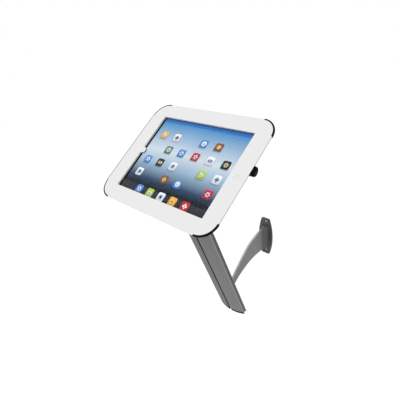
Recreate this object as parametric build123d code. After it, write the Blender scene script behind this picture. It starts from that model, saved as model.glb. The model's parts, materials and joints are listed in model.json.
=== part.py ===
"""Wall-mounted tablet security kiosk stand.

A cast wall bracket carries a slotted aluminium post on its back slot. A forked
head closes the top of the post, and a bolt through its ears is the tilt axis of
the enclosure: a black tray with the tablet in it, and a white cover with black
corner guards that lifts off its hooks once the side lock is turned.

Frame: the origin is the middle of the wall plate's back face. +Z is up, +Y
points into the wall, -Y out to the user, and +X is the user's right.
"""
import os
from math import asin, atan2, cos, hypot, radians, sin, sqrt

from build123d import *

# Values for all cuts and seats
overrun = 1.0
seat_gap = 0.05
shadow_gap = 0.3
running_gap = 0.05

# Wall bracket: plate, fin and post pad, one casting
plate_height = 92.0
plate_end_width = 19.0
plate_middle_width = 34.5
plate_thickness = 4.5
plate_corner_round = 2.5
plate_edge_round = 0.8
wall_hole_spacing = 76.0
wall_hole_radius = 2.25
wall_sink_radius = 4.2
wall_sink_depth = 1.9
fin_thickness = 4.0
fin_root_height = 58.0
fin_root_flare = 9.0
fin_tip_height = 15.0
fin_tip_flare = 3.0
fin_top_shares = ((0.25, 0.08), (0.45, 0.20), (0.65, 0.44), (0.85, 0.73))
fin_bottom_shares = ((0.20, -0.03), (0.40, 0.02), (0.60, 0.20), (0.80, 0.50))
pad_length = 58.0
pad_width = 24.0
pad_thickness = 5.0
pad_corner_round = 5.0
pad_height_on_post = 57.0
pad_screw_spacing = 40.0

# Post: an extrusion with a slot in the front, the back and both sides
post_foot_out = 124.7
post_foot_drop = 120.2
post_lean = 18.9
post_length = 318.0
post_width = 64.8
post_depth = 22.0
post_side_height = 8.4
post_edge_round = 1.2
post_wall = 2.2
front_slot_mouth = 4.2
back_slot_mouth = 6.6
slot_lip = 2.2
slot_inner_width = 11.0
slot_inner_depth = 4.4
side_slot_mouth = 6.0
side_slot_depth = 2.5
core_hole_radius = 3.4

# Screws that hold the pad to the slot nut
pad_screw_radius = 3.0
pad_screw_head_radius = 5.0
pad_screw_head_height = 6.0
pad_screw_key_radius = 2.6
pad_screw_key_depth = 3.0
slot_nut_length = 54.0
slot_nut_side_gap = 0.2

# Head on top of the post, with the fork of the tilt joint
head_rise = 30.0
head_cap_thickness = 13.0
head_margin = 0.8
ear_thickness = 6.6
ear_radius = 11.0
tenon_length = 12.0
tenon_gap = 0.2
head_bolt_radius = 3.35
head_bolt_length = 30.0
head_bolt_head_radius = 6.5
head_bolt_head_height = 7.0
head_bolt_key_radius = 3.4
head_bolt_key_depth = 4.0

# Tilt joint
hinge_above_edge = 65.7
hinge_depth = 40.0
knuckle_width = 24.4
knuckle_foot_height = 34.0
tilt_bolt_radius = 4.0
tilt_bolt_head_radius = 6.5
tilt_bolt_head_height = 8.0
tilt_bolt_key_radius = 3.4
tilt_bolt_key_depth = 4.0
tilt_bolt_thread_out = 2.5
tilt_nut_across_flats = 13.0
tilt_nut_height = 6.5
outer_washer_radius = 8.0
outer_washer_thickness = 1.6
friction_washer_radius = 9.5
friction_washer_thickness = 1.0

# Tilt plate on the tray's back
tilt_plate_size = 92.0
tilt_plate_thickness = 3.0
tilt_plate_round = 8.0
tilt_plate_pitch = 75.0
plate_screw_radius = 2.0
plate_screw_head_radius = 4.0
plate_screw_head_height = 2.6
plate_screw_key_radius = 1.4
plate_screw_key_depth = 1.5
clinch_nut_radius = 3.8
clinch_nut_height = 1.4

# Front cover, seen from the user's side
tilt_back = 55.4
face_width = 257.0
face_height = 202.0
face_corner_radius = 28.0
cover_sheet = 1.2
cover_lip = 3.0
cover_lip_lean = 1.0
cover_edge_round = 0.5
cover_left_bar = 31.4
cover_right_bar = 29.0
cover_upper_bar = 26.9
cover_lower_bar = 26.2
window_width = face_width - cover_left_bar - cover_right_bar
window_height = face_height - cover_upper_bar - cover_lower_bar
window_across = (cover_left_bar - cover_right_bar) / 2
window_up = (cover_lower_bar - cover_upper_bar) / 2
window_left = window_across - window_width / 2
window_lip = 3.0
camera_tab_radius = 5.7
camera_tab_reach = 2.8
camera_tab_drop = 0.2
camera_pad_setback = 0.3

# Black corner guards, and the black trim on the left edge between two of them
guard_front_width = 2.1
guard_proud = 0.3
guard_bar_width = 4.6
guard_depth = 3.0
guard_front_setback = 0.2
guard_edge_round = 0.5
edge_trim_width = 1.2

# Tray
tray_sheet = 1.2
rim_inset = 3.3
tray_wall_inset = 4.0
tray_slope_run = 10.6
tray_depth = 15.5
tray_top_round = 14.0
tray_bottom_round = 10.0
cable_hole_radius = 9.0
cable_hole_from_edge = 58.5
cable_hole_across = face_width / 2 - cable_hole_from_edge

# Tablet, a ten inch class slab lying in the tray
tablet_side_room = 7.9
tablet_end_room = 8.15
tablet_width = face_width - 2 * tablet_side_room
tablet_height = face_height - 2 * tablet_end_room
tablet_thickness = 9.4
tablet_corner_radius = 13.0
tablet_taper = 10.0
tablet_side_height = 2.2
tablet_wall = 1.2
glass_thickness = 1.0
gasket_thickness = 2.1
gasket_width = 7.0
gasket_set_back = 2.0
display_side_room = 0.2
display_end_room = 0.25
display_width = window_width - 2 * display_side_room
display_height = window_height - 2 * display_end_room
display_shift = 4.0
display_thickness = 1.6
board_width = 34.0
board_side_room = 17.4
board_end_room = 17.65
board_thickness = 1.6
battery_side_room = 23.4
battery_end_room = 21.65
battery_board_room = 24.0
battery_thickness = 3.6
floor_half_width = tablet_width / 2 - tablet_taper - tablet_wall
floor_half_height = tablet_height / 2 - tablet_taper - tablet_wall
board_height = 2 * (floor_half_height - board_end_room)
board_shift = floor_half_width - board_side_room - board_width / 2
battery_width = board_shift - board_width / 2 - battery_board_room - battery_side_room + floor_half_width
battery_height = 2 * (floor_half_height - battery_end_room)
battery_shift = floor_half_width - battery_side_room - battery_width / 2
foam_pad_width = 34.0
foam_pad_height = 26.0
foam_pad_round = 3.0
foam_pad_side_room = 40.6
foam_pad_end_room = 40.85
foam_pad_across = tablet_width - 2 * foam_pad_side_room
foam_pad_up = tablet_height - 2 * foam_pad_end_room

# Home key: a flush pusher in the cover over the tablet's own button
home_key_beside_window = 12.5
home_key_across = window_across + window_width / 2 + home_key_beside_window
home_key_drop = 1.5
home_key_size = 7.0
home_key_round = 1.6
home_key_gap = 0.15
home_flange_size = 11.0
home_flange_thickness = 0.4
home_button_radius = 4.6
home_button_thickness = 0.8
home_button_recess = 0.1
home_button_dish = 0.2
home_travel = 0.8
home_switch_width = 13.0
home_switch_sheet = 0.8

# Hooks on the cover's left side
hook_sheet = 0.8
hook_width = 16.0
hook_end_room = 46.0
hook_pitch = face_height - 2 * hook_end_room
hook_toe = 2.0

# Side lock on the right
lock_up = 15.0
lock_radius = 7.6
lock_centre_depth = 3.0
lock_proud = 4.1
lock_slope_run = 3.0
lock_slope_depth = 3.0
lock_inner_reach = 5.5
lock_core_depth = 6.4
lock_core_radius = 2.8
lock_core_proud = 0.4
lock_key_width = 0.9
lock_key_height = 3.2
lock_key_depth = 2.0
lock_ear_reach = 8.0
lock_ear_width = 2.0
lock_ear_thickness = 1.2
lock_screw_radius = 0.75
lock_screw_head_radius = 1.0
lock_screw_head_height = 0.6
cam_thickness = 1.2
cam_length = 4.7
cam_half_width = 1.8
cam_screw_radius = 1.1
cam_screw_length = 3.0
keeper_wall = 1.5
keeper_foot = 6.0
keeper_gap = 0.35

# Directions and frames that follow from the sizes above
lean = radians(post_lean)
back = radians(tilt_back)
post_up = Vector(0, -sin(lean), cos(lean))
post_rear = Vector(0, cos(lean), sin(lean))
face_up = Vector(0, sin(back), cos(back))
face_out = Vector(0, -cos(back), sin(back))
post_foot = Vector(0, -post_foot_out, -post_foot_drop)
post_frame = Plane(origin=post_foot, x_dir=(1, 0, 0), z_dir=post_up)
tilt_axis = post_foot + post_up * (post_length + head_rise)
hinge_drop = face_height / 2 - hinge_above_edge
face_centre = tilt_axis + face_up * hinge_drop + face_out * hinge_depth
face_frame = Plane(origin=face_centre, x_dir=(1, 0, 0), z_dir=face_out)

# Levels behind the front face
lip_bottom = -cover_lip
rim_top = lip_bottom - shadow_gap
rim_bottom = rim_top - tray_sheet
tray_back = -tray_depth
tray_floor = tray_back + tray_sheet
cover_back = -cover_sheet
glass_front = cover_back - gasket_thickness
glass_back = glass_front - glass_thickness
tablet_back = glass_front - tablet_thickness
guard_back = -guard_depth
half_face = (face_width / 2, face_height / 2)
corner_centre = (half_face[0] - face_corner_radius, half_face[1] - face_corner_radius)
lock_ear_top = rim_top + seat_gap + lock_ear_thickness
lock_place = Pos(0, lock_up, 0)
home_place = Pos(home_key_across, -home_key_drop, 0)
window_place = Pos(window_across, window_up, 0)
camera_tab_place = Pos(window_left + camera_tab_reach, -camera_tab_drop, 0)


def named(shape, name):
    """Write one sub-part to its own file."""
    export_step(shape, f"parts/{name}.step")


def rod(radius, low, high):
    """A cylinder along Z between two heights."""
    return Pos(0, 0, (low + high) / 2) * Cylinder(radius, high - low)


def rod_along_x(radius, low, high):
    """A cylinder along X between two places."""
    return Pos((low + high) / 2, 0, 0) * Rot(0, 90, 0) * Cylinder(radius, high - low)


def block(x_range, y_range, z_range):
    """A box between six planes."""
    size = [high - low for low, high in (x_range, y_range, z_range)]
    middle = [(low + high) / 2 for low, high in (x_range, y_range, z_range)]
    return Pos(*middle) * Box(*size)


def slab(width, height, radius, low, high):
    """A rounded rectangle drawn on XY and thickened between two heights."""
    return Pos(0, 0, low) * extrude(RectangleRounded(width, height, radius), high - low)


def tub(top_size, top_round, top, bottom_size, bottom_round, bottom):
    """A tapering rounded box between two rounded rectangles."""
    upper = Pos(0, 0, top) * RectangleRounded(*top_size, top_round)
    lower = Pos(0, 0, bottom) * RectangleRounded(*bottom_size, bottom_round)
    return loft([lower, upper], ruled=True)


def socket_screw(radius, length, head_radius, head_height, key_radius, key_depth):
    """A cap screw with a hexagon socket, its head resting on Z = 0 and its shank below."""
    screw = rod(head_radius, 0, head_height) + rod(radius, -length, 0)
    key = Pos(0, 0, head_height - key_depth) * extrude(RegularPolygon(key_radius, 6), key_depth + overrun)
    return screw - key


def join(shapes):
    """Several solids kept apart in one node."""
    return Compound(children=[solid for shape in shapes for solid in shape.solids()])


def fin_edge(start, end, shares):
    """A smooth edge of the fin through places given as shares of its way out and down."""
    reach = end.Y - start.Y
    drop = end.Z - start.Z
    middle = [Vector(0, start.Y + out * reach, start.Z + down * drop) for out, down in shares]
    return Spline(start, *middle, end)


def plate_outline():
    """The wall plate's outline: short straight ends and long bowed sides."""
    half_end = plate_end_width / 2
    half_middle = plate_middle_width / 2
    half_height = plate_height / 2
    top = Line((-half_end, half_height), (half_end, half_height))
    right = ThreePointArc((half_end, half_height), (half_middle, 0), (half_end, -half_height))
    bottom = Line((half_end, -half_height), (-half_end, -half_height))
    left = ThreePointArc((-half_end, -half_height), (-half_middle, 0), (-half_end, half_height))
    face = make_face([top, right, bottom, left])
    return fillet(face.vertices(), plate_corner_round)


def lens_outline(width, depth, side_height):
    """The post's outline on XY: bowed front and back between two flat sides."""
    half_width = width / 2
    half_depth = depth / 2
    half_side = side_height / 2
    rear = ThreePointArc((-half_width, half_side), (0, half_depth), (half_width, half_side))
    right = Line((half_width, half_side), (half_width, -half_side))
    front = ThreePointArc((half_width, -half_side), (0, -half_depth), (-half_width, -half_side))
    left = Line((-half_width, -half_side), (-half_width, half_side))
    return make_face([rear, right, front, left])


def make_wall_bracket():
    """Plate, fin and post pad in one casting."""
    wall_plane = Plane(origin=(0, 0, 0), x_dir=(1, 0, 0), z_dir=(0, -1, 0))
    plate = extrude(wall_plane * plate_outline(), plate_thickness)
    front_edges = plate.faces().sort_by(Axis.Y)[0].edges()
    plate = fillet(front_edges, plate_edge_round)

    pad_middle = post_foot + post_up * pad_height_on_post + post_rear * (post_depth / 2)
    tip_top = pad_middle + post_up * (fin_tip_height / 2)
    tip_bottom = pad_middle - post_up * (fin_tip_height / 2)
    root_top = Vector(0, -plate_thickness / 2, fin_root_height / 2)
    root_bottom = Vector(0, -plate_thickness / 2, -fin_root_height / 2)
    outline = [
        fin_edge(root_top, tip_top, fin_top_shares),
        Line(tip_top, tip_bottom),
        fin_edge(root_bottom, tip_bottom, fin_bottom_shares),
        Line(root_bottom, root_top),
    ]
    side_view = make_face(outline)
    fin = extrude(side_view, fin_thickness / 2, both=True, dir=(1, 0, 0))
    wide_fin = extrude(side_view, plate_middle_width / 2, both=True, dir=(1, 0, 0))

    root_flare = flare(fin_thickness, fin_root_flare, fin_root_height)
    root_flare = Pos(0, -plate_thickness, 0) * root_flare
    pad_flare = flare(fin_thickness, fin_tip_flare, pad_length)
    pad_place = Pos(0, post_depth / 2 + pad_thickness, pad_height_on_post) * Rot(0, 0, 180)
    pad_flare = post_frame.location * (pad_place * pad_flare)

    pad = slab(pad_width, pad_length, pad_corner_round, 0, pad_thickness + post_depth / 4)
    pad = Pos(0, post_depth / 4, pad_height_on_post) * Rot(-90, 0, 0) * pad
    seat = extrude(lens_outline(post_width, post_depth + 2 * seat_gap, post_side_height), post_length)
    pad = post_frame.location * (pad - seat)
    blank = post_frame.location * seat

    bracket = plate + (fin - blank) + (root_flare & wide_fin) + (pad_flare & wide_fin) + pad
    for side in (-1, 1):
        place = Pos(0, -plate_thickness, side * wall_hole_spacing / 2) * Rot(90, 0, 0)
        bracket -= place * rod(wall_hole_radius, -plate_thickness - overrun, overrun)
        sink = Cone(wall_hole_radius, wall_sink_radius, wall_sink_depth)
        bracket -= place * (Pos(0, 0, -wall_sink_depth / 2) * sink)
        screw_height = pad_height_on_post + side * pad_screw_spacing / 2
        hole = rod(pad_screw_radius + seat_gap, 0, post_depth)
        hole = Pos(0, post_depth / 4, screw_height) * Rot(-90, 0, 0) * hole
        bracket -= post_frame.location * hole
    return bracket


def flare(web, radius, height):
    """A web that opens towards Y = 0 with a hollow round each side, standing along Z."""
    half_web = web / 2
    diagonal = radius * (1 - sqrt(0.5))
    left = ThreePointArc(
        (-half_web - radius, 0), (-half_web - diagonal, -diagonal), (-half_web, -radius)
    )
    tip = Line((-half_web, -radius), (half_web, -radius))
    right = ThreePointArc(
        (half_web, -radius), (half_web + diagonal, -diagonal), (half_web + radius, 0)
    )
    base = Line((half_web + radius, 0), (-half_web - radius, 0))
    face = make_face([left, tip, right, base])
    return Pos(0, 0, -height / 2) * extrude(face, height)


def tee_slot(mouth):
    """A slot cut on the +Y side: a mouth through the lip and a wider space behind it."""
    lip = Pos(0, post_depth / 2) * Rectangle(mouth, 2 * slot_lip)
    inner_middle = post_depth / 2 - slot_lip - slot_inner_depth / 2
    return lip + Pos(0, inner_middle) * Rectangle(slot_inner_width, slot_inner_depth)


def side_slot():
    """A plain groove cut in the +X side."""
    return Pos(post_width / 2, 0) * Rectangle(2 * side_slot_depth, side_slot_mouth)


def chamber_outline(gap):
    """The hollow on the +X side of the post, smaller by a gap all round."""
    inner = slot_inner_width / 2 + post_wall + gap
    outer = post_width / 2 - side_slot_depth - post_wall - gap
    shrink = 2 * (post_wall + gap)
    lens = lens_outline(post_width - shrink, post_depth - shrink, post_side_height - shrink / 4)
    window = Pos((inner + outer) / 2, 0) * Rectangle(outer - inner, post_depth)
    return fillet((lens & window).vertices(), post_wall / 2)


def make_post():
    """The slotted extrusion, open at its lower end."""
    outline = lens_outline(post_width, post_depth, post_side_height)
    outline = fillet(outline.vertices(), post_edge_round)
    chamber = chamber_outline(0)
    section = outline - tee_slot(back_slot_mouth) - mirror(tee_slot(front_slot_mouth), Plane.XZ)
    section = section - side_slot() - mirror(side_slot(), Plane.YZ)
    section = section - chamber - mirror(chamber, Plane.YZ)
    section = section - Circle(core_hole_radius)
    return post_frame.location * extrude(section, post_length)


def make_slot_nut():
    """The tapped bar that the pad screws pull against."""
    depth = slot_inner_depth - slot_nut_side_gap
    width = slot_inner_width - 2 * slot_nut_side_gap
    middle = post_depth / 2 - slot_lip - depth / 2
    nut = Pos(0, middle, pad_height_on_post) * Box(width, depth, slot_nut_length)
    for side in (-1, 1):
        hole = rod(pad_screw_radius + seat_gap, -post_depth, post_depth)
        height = pad_height_on_post + side * pad_screw_spacing / 2
        nut -= Pos(0, middle, height) * Rot(90, 0, 0) * hole
    return post_frame.location * nut


def make_pad_screws():
    """Two cap screws through the pad into the slot nut."""
    length = pad_thickness + slot_lip + slot_inner_depth - slot_nut_side_gap
    screws = []
    for side in (-1, 1):
        screw = socket_screw(
            pad_screw_radius, length, pad_screw_head_radius, pad_screw_head_height,
            pad_screw_key_radius, pad_screw_key_depth,
        )
        height = pad_height_on_post + side * pad_screw_spacing / 2
        place = Pos(0, post_depth / 2 + pad_thickness, height) * Rot(-90, 0, 0)
        screws.append(post_frame.location * (place * screw))
    return join(screws)


def ear_inner():
    """Half the gap of the fork."""
    return knuckle_width / 2 + friction_washer_thickness + 2 * seat_gap


def make_post_head():
    """The cap on the post with its fork, and two tenons in the post's hollows."""
    outline = lens_outline(
        post_width + 2 * head_margin, post_depth + 2 * head_margin, post_side_height + 2 * head_margin
    )
    outline = fillet(outline.vertices(), post_edge_round)
    cap = Pos(0, 0, post_length) * extrude(outline, head_cap_thickness)
    cap = fillet(cap.faces().sort_by(Axis.Z)[-1].edges(), head_margin)
    tenon = extrude(chamber_outline(tenon_gap), tenon_length + overrun)
    tenon = Pos(0, 0, post_length - tenon_length) * tenon
    head = cap + tenon + mirror(tenon, Plane.YZ)
    axis_height = post_length + head_rise
    for side in (-1, 1):
        inner = ear_inner()
        span = sorted((side * inner, side * (inner + ear_thickness)))
        ear = Pos(0, 0, axis_height) * rod_along_x(ear_radius, *span)
        web = block(span, (-ear_radius, ear_radius), (post_length + head_margin, axis_height))
        head += ear + web
    head -= Pos(0, 0, axis_height) * rod_along_x(tilt_bolt_radius + running_gap, -post_width, post_width)
    top = post_length + head_cap_thickness
    sink = head_bolt_head_height + shadow_gap
    head -= rod(head_bolt_head_radius + shadow_gap, top - sink, top + overrun)
    head -= rod(head_bolt_radius + shadow_gap, post_length - overrun, top)
    return post_frame.location * head


def make_head_bolt():
    """The bolt down the post's core that clamps the head."""
    seat = post_length + head_cap_thickness - head_bolt_head_height - shadow_gap
    bolt = socket_screw(
        head_bolt_radius, head_bolt_length, head_bolt_head_radius, head_bolt_head_height,
        head_bolt_key_radius, head_bolt_key_depth,
    )
    return post_frame.location * (Pos(0, 0, seat) * bolt)


def at_tilt_axis(shape):
    """Carry a shape drawn about X at the origin to the tilt axis, square to the post."""
    return post_frame.location * (Pos(0, 0, post_length + head_rise) * shape)


def make_tilt_bolt():
    """The bolt through both ears and the knuckle."""
    ear_outer = ear_inner() + ear_thickness
    head_seat = ear_outer + outer_washer_thickness + 2 * seat_gap
    tail = ear_outer + outer_washer_thickness + tilt_nut_height + tilt_bolt_thread_out
    bolt = socket_screw(
        tilt_bolt_radius, head_seat + tail, tilt_bolt_head_radius, tilt_bolt_head_height,
        tilt_bolt_key_radius, tilt_bolt_key_depth,
    )
    return at_tilt_axis(Pos(head_seat, 0, 0) * Rot(0, 90, 0) * bolt)


def make_tilt_nut():
    """The self-locking nut on the left end of the tilt bolt."""
    start = ear_inner() + ear_thickness + outer_washer_thickness + 2 * seat_gap
    nut = extrude(RegularPolygon(tilt_nut_across_flats / 2, 6, major_radius=False), tilt_nut_height)
    nut -= rod(tilt_bolt_radius + seat_gap, -overrun, tilt_nut_height + overrun)
    return at_tilt_axis(Pos(-start, 0, 0) * Rot(0, -90, 0) * nut)


def washer_pair(radius, thickness, start):
    """Two equal washers, one each side of the tilt axis's middle."""
    washers = []
    for side in (-1, 1):
        span = sorted((side * start, side * (start + thickness)))
        ring = rod_along_x(radius, *span)
        ring -= rod_along_x(tilt_bolt_radius + 2 * running_gap, -post_width, post_width)
        washers.append(at_tilt_axis(ring))
    return join(washers)


def make_tilt_plate():
    """The square plate on the tray's back with the knuckle that the bolt passes."""
    top = tray_back - seat_gap
    bottom = top - tilt_plate_thickness
    plate = slab(tilt_plate_size, tilt_plate_size, tilt_plate_round, bottom, top)
    axis_drop = hinge_depth + bottom
    eye = rod_along_x(ear_radius, -knuckle_width / 2, knuckle_width / 2)
    foot_half = knuckle_foot_height / 2
    reach = asin(ear_radius / hypot(foot_half, axis_drop)) + atan2(foot_half, axis_drop)
    touch = (ear_radius * cos(reach), ear_radius * sin(reach))
    web = Polyline(
        (-foot_half, axis_drop), (foot_half, axis_drop), touch,
        (-touch[0], touch[1]), close=True,
    )
    web = extrude(Plane.YZ * make_face(web), knuckle_width / 2, both=True)
    knuckle = eye + web
    knuckle -= rod_along_x(tilt_bolt_radius + running_gap, -knuckle_width, knuckle_width)
    plate += Pos(0, 0, -hinge_depth) * knuckle
    for place in GridLocations(tilt_plate_pitch, tilt_plate_pitch, 2, 2):
        plate -= place * rod(plate_screw_radius + seat_gap, bottom - overrun, top + overrun)
    return face_frame.location * (Pos(0, -hinge_drop, 0) * plate)


def make_plate_screws():
    """Four screws that hold the tilt plate to the tray."""
    seat = tray_back - seat_gap - tilt_plate_thickness
    length = tilt_plate_thickness + seat_gap + tray_sheet + clinch_nut_height
    screws = []
    for place in GridLocations(tilt_plate_pitch, tilt_plate_pitch, 2, 2):
        screw = socket_screw(
            plate_screw_radius, length, plate_screw_head_radius, plate_screw_head_height,
            plate_screw_key_radius, plate_screw_key_depth,
        )
        screw = Pos(0, -hinge_drop, seat) * place * Rot(180, 0, 0) * screw
        screws.append(face_frame.location * screw)
    return join(screws)


def make_clinch_nuts():
    """Four nuts pressed into the tray's floor for the tilt plate's screws."""
    nuts = []
    for place in GridLocations(tilt_plate_pitch, tilt_plate_pitch, 2, 2):
        nut = rod(clinch_nut_radius, tray_floor, tray_floor + clinch_nut_height)
        nut -= rod(plate_screw_radius + seat_gap, tray_back, tray_floor + 2 * clinch_nut_height)
        nuts.append(face_frame.location * (Pos(0, -hinge_drop, 0) * place * nut))
    return join(nuts)


def tray_size(inset):
    """The size of the face outline drawn in by an inset all round."""
    return (face_width - 2 * inset, face_height - 2 * inset)


def wall_lean():
    """How far the tray's wall runs in for each unit that it goes back."""
    return tray_slope_run / (rim_top - tray_back)


def make_back_tray():
    """The black tray: rim, sloping walls and floor."""
    outer = tub(
        tray_size(tray_wall_inset), tray_top_round, rim_top,
        tray_size(tray_wall_inset + tray_slope_run), tray_bottom_round, tray_back,
    )
    side = tray_sheet * sqrt(1 + wall_lean() ** 2)
    rise = overrun * wall_lean()
    floor_back = tray_slope_run - tray_sheet * wall_lean()
    inner = tub(
        tray_size(tray_wall_inset + side - rise), tray_top_round, rim_top + overrun,
        tray_size(tray_wall_inset + side + floor_back), tray_bottom_round - tray_sheet, tray_floor,
    )
    rim = slab(*tray_size(rim_inset), face_corner_radius - rim_inset, rim_bottom, rim_top)
    tray = rim + outer - inner
    tray -= lock_room()
    for place in GridLocations(tilt_plate_pitch, tilt_plate_pitch, 2, 2):
        hole = rod(plate_screw_radius + seat_gap, tray_back - overrun, tray_floor + overrun)
        tray -= Pos(0, -hinge_drop, 0) * place * hole
    for side in (-1, 1):
        hole = rod(lock_screw_radius + seat_gap, rim_bottom - overrun, overrun)
        tray -= lock_place * Pos(*lock_screw_place(side), 0) * hole
    tray -= Pos(cable_hole_across, 0, 0) * rod(cable_hole_radius, tray_back - overrun, tray_floor + overrun)
    return face_frame.location * tray


def lock_room():
    """The notch in the tray for the lock and the keeper's way out."""
    half_height = lock_radius + shadow_gap
    inner = tablet_width / 2
    return block(
        (inner, half_face[0] + overrun),
        (lock_up - half_height, lock_up + half_height),
        (-lock_centre_depth - lock_radius - shadow_gap, overrun),
    )


def make_front_cover():
    """The white cover: a sheet with the window, and lips folded back on its straight sides."""
    sheet = slab(face_width, face_height, face_corner_radius, cover_back, 0)
    frame = block(
        (-window_width / 2 - cover_sheet, window_width / 2 + cover_sheet),
        (-window_height / 2 - cover_sheet, window_height / 2 + cover_sheet),
        (-window_lip, 0),
    )
    window = block(
        (-window_width / 2, window_width / 2), (-window_height / 2, window_height / 2),
        (-window_lip - overrun, overrun),
    )
    tab = rod(camera_tab_radius, cover_back, 0)
    tab += block(
        (-camera_tab_reach - cover_sheet / 2, 0), (-camera_tab_radius, camera_tab_radius), (cover_back, 0)
    )
    cover = sheet + window_place * frame - window_place * window + camera_tab_place * tab
    for turn in (0, 180):
        cover += Rot(0, 0, turn) * make_lip(half_face[0], corner_centre[1])
        cover += Rot(0, 0, turn + 90) * make_lip(half_face[1], corner_centre[0])
    rims = cover.faces().filter_by(Axis.Z).sort_by(Axis.Z)[-1].outer_wire().edges()
    cover = fillet(rims, cover_edge_round)
    for place in guard_places().values():
        cover -= place * guard_seat()
    notch = lock_radius + shadow_gap
    cover -= block(
        (half_face[0] - cover_lip_lean - 2 * cover_sheet, half_face[0] + overrun),
        (lock_up - notch, lock_up + notch), (lip_bottom - overrun, cover_back),
    )
    key = home_key_size + 2 * home_key_gap
    cover -= home_place * slab(key, key, home_key_round, cover_back - overrun, overrun)
    return face_frame.location * cover


def make_lip(edge, half_length):
    """A lip on the +X side, which leans in as it goes back."""
    section = Polyline(
        (edge - cover_sheet, cover_back / 2), (edge, cover_back / 2), (edge, cover_back),
        (edge - cover_lip_lean, lip_bottom), (edge - cover_lip_lean - cover_sheet, lip_bottom),
        (edge - cover_sheet, cover_back), close=True,
    )
    return extrude(Plane.XZ * make_face(section), half_length, both=True)


def guard_seat():
    """The curved strip cut off a corner of the sheet, about the corner's centre, for a guard's rim."""
    reach = face_corner_radius + overrun
    ring = rod(reach, cover_back - overrun, overrun)
    ring -= rod(face_corner_radius - guard_front_width, cover_back - overrun, overrun)
    return ring & block((0, reach), (0, reach), (cover_back - overrun, overrun))


def guard_places():
    """The four corner centres with the turn that brings the upper right guard there."""
    x, y = corner_centre
    return {
        "upper_right": Pos(x, y, 0),
        "upper_left": Pos(-x, y, 0) * Rot(0, 0, 90),
        "lower_left": Pos(-x, -y, 0) * Rot(0, 0, 180),
        "lower_right": Pos(x, -y, 0) * Rot(0, 0, 270),
    }


def make_guard():
    """One corner guard about its corner's centre: a curved bar with a rim beside the sheet."""
    outer = face_corner_radius + guard_proud
    inner = face_corner_radius - guard_bar_width
    rim = face_corner_radius - guard_front_width + seat_gap
    bar = rod(outer, guard_back, -guard_front_setback) - rod(inner, guard_back - overrun, overrun)
    bar -= rod(rim, cover_back - seat_gap, overrun)
    reach = outer + overrun
    bar &= block((seat_gap, reach), (seat_gap, reach), (guard_back - overrun, overrun))
    back_edges = bar.edges().filter_by(GeomType.CIRCLE).group_by(Axis.Z)[0]
    return fillet(back_edges.sort_by(SortBy.RADIUS)[-1], guard_edge_round)


def make_edge_trim():
    """The thin black trim along the cover's left edge, from guard to guard."""
    right = -half_face[0] - seat_gap
    half_length = corner_centre[1] - seat_gap
    trim = block(
        (right - edge_trim_width, right), (-half_length, half_length), (guard_back, -guard_front_setback)
    )
    return face_frame.location * trim


def make_window_gasket():
    """The foam frame between the cover and the tablet's glass, and a foam pad under the window's tab."""
    inner_width = window_width + 2 * gasket_set_back
    inner_height = window_height + 2 * gasket_set_back
    low = glass_front + seat_gap
    high = cover_back - seat_gap
    outer_round = gasket_width / 2
    frame = slab(inner_width + 2 * gasket_width, inner_height + 2 * gasket_width, outer_round, low, high)
    frame -= block(
        (-inner_width / 2, inner_width / 2), (-inner_height / 2, inner_height / 2),
        (low - overrun, high + overrun),
    )
    flange = home_flange_size + 2 * shadow_gap
    frame = window_place * frame - home_place * block(
        (-flange / 2, flange), (-flange / 2, flange / 2), (low - overrun, high + overrun)
    )
    pad = rod(camera_tab_radius - camera_pad_setback, low, high)
    pad &= block(
        (seat_gap - camera_tab_reach, camera_tab_radius), (-camera_tab_radius, camera_tab_radius), (low, high)
    )
    return join([face_frame.location * frame, face_frame.location * (camera_tab_place * pad)])


def make_foam_pads():
    """Four pads that press the tablet's back away from the tray's floor."""
    pads = []
    high = tablet_back - seat_gap
    for place in GridLocations(foam_pad_across, foam_pad_up, 2, 2):
        pad = slab(foam_pad_width, foam_pad_height, foam_pad_round, tray_floor + seat_gap, high)
        pads.append(face_frame.location * (place * pad))
    return join(pads)


def make_tablet_shell():
    """The tablet's metal back: straight sides, then a taper to a flat back, hollow inside."""
    size = (tablet_width, tablet_height)
    small = (tablet_width - 2 * tablet_taper, tablet_height - 2 * tablet_taper)
    shoulder = glass_front - tablet_side_height
    body = slab(*size, tablet_corner_radius, shoulder, glass_front)
    body += tub(size, tablet_corner_radius, shoulder, small, tablet_corner_radius / 2, tablet_back)
    inner_size = tuple(value - 2 * tablet_wall for value in size)
    inner_small = tuple(value - 2 * tablet_wall for value in small)
    inner_round = tablet_corner_radius - tablet_wall
    floor_round = tablet_corner_radius / 2 - tablet_wall
    floor = tablet_back + tablet_wall
    hollow = slab(*inner_size, inner_round, shoulder, glass_front + overrun)
    hollow += tub(inner_size, inner_round, shoulder, inner_small, floor_round, floor)
    return face_frame.location * (body - hollow)


def make_tablet_glass():
    """The front glass with the hole of the home button."""
    inset = 2 * (tablet_wall + seat_gap)
    size = (tablet_width - inset, tablet_height - inset)
    glass = slab(*size, tablet_corner_radius - tablet_wall, glass_back, glass_front)
    hole = rod(home_button_radius + shadow_gap, glass_back - overrun, glass_front + overrun)
    return face_frame.location * (glass - home_place * hole)


def make_tablet_display():
    """The lit panel behind the glass."""
    high = glass_back - seat_gap
    panel = slab(display_width, display_height, display_thickness, high - display_thickness, high)
    return face_frame.location * (Pos(display_shift, window_up, 0) * panel)


def make_tablet_battery():
    """The flat battery on the tablet's back wall."""
    low = tablet_back + tablet_wall + seat_gap
    cell = slab(battery_width, battery_height, battery_thickness, low, low + battery_thickness)
    return face_frame.location * (Pos(-battery_shift, 0, 0) * cell)


def make_tablet_board():
    """The logic board beside the battery."""
    low = tablet_back + tablet_wall + seat_gap
    board = slab(board_width, board_height, board_thickness, low, low + board_thickness)
    return face_frame.location * (Pos(board_shift, 0, 0) * board)


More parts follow.
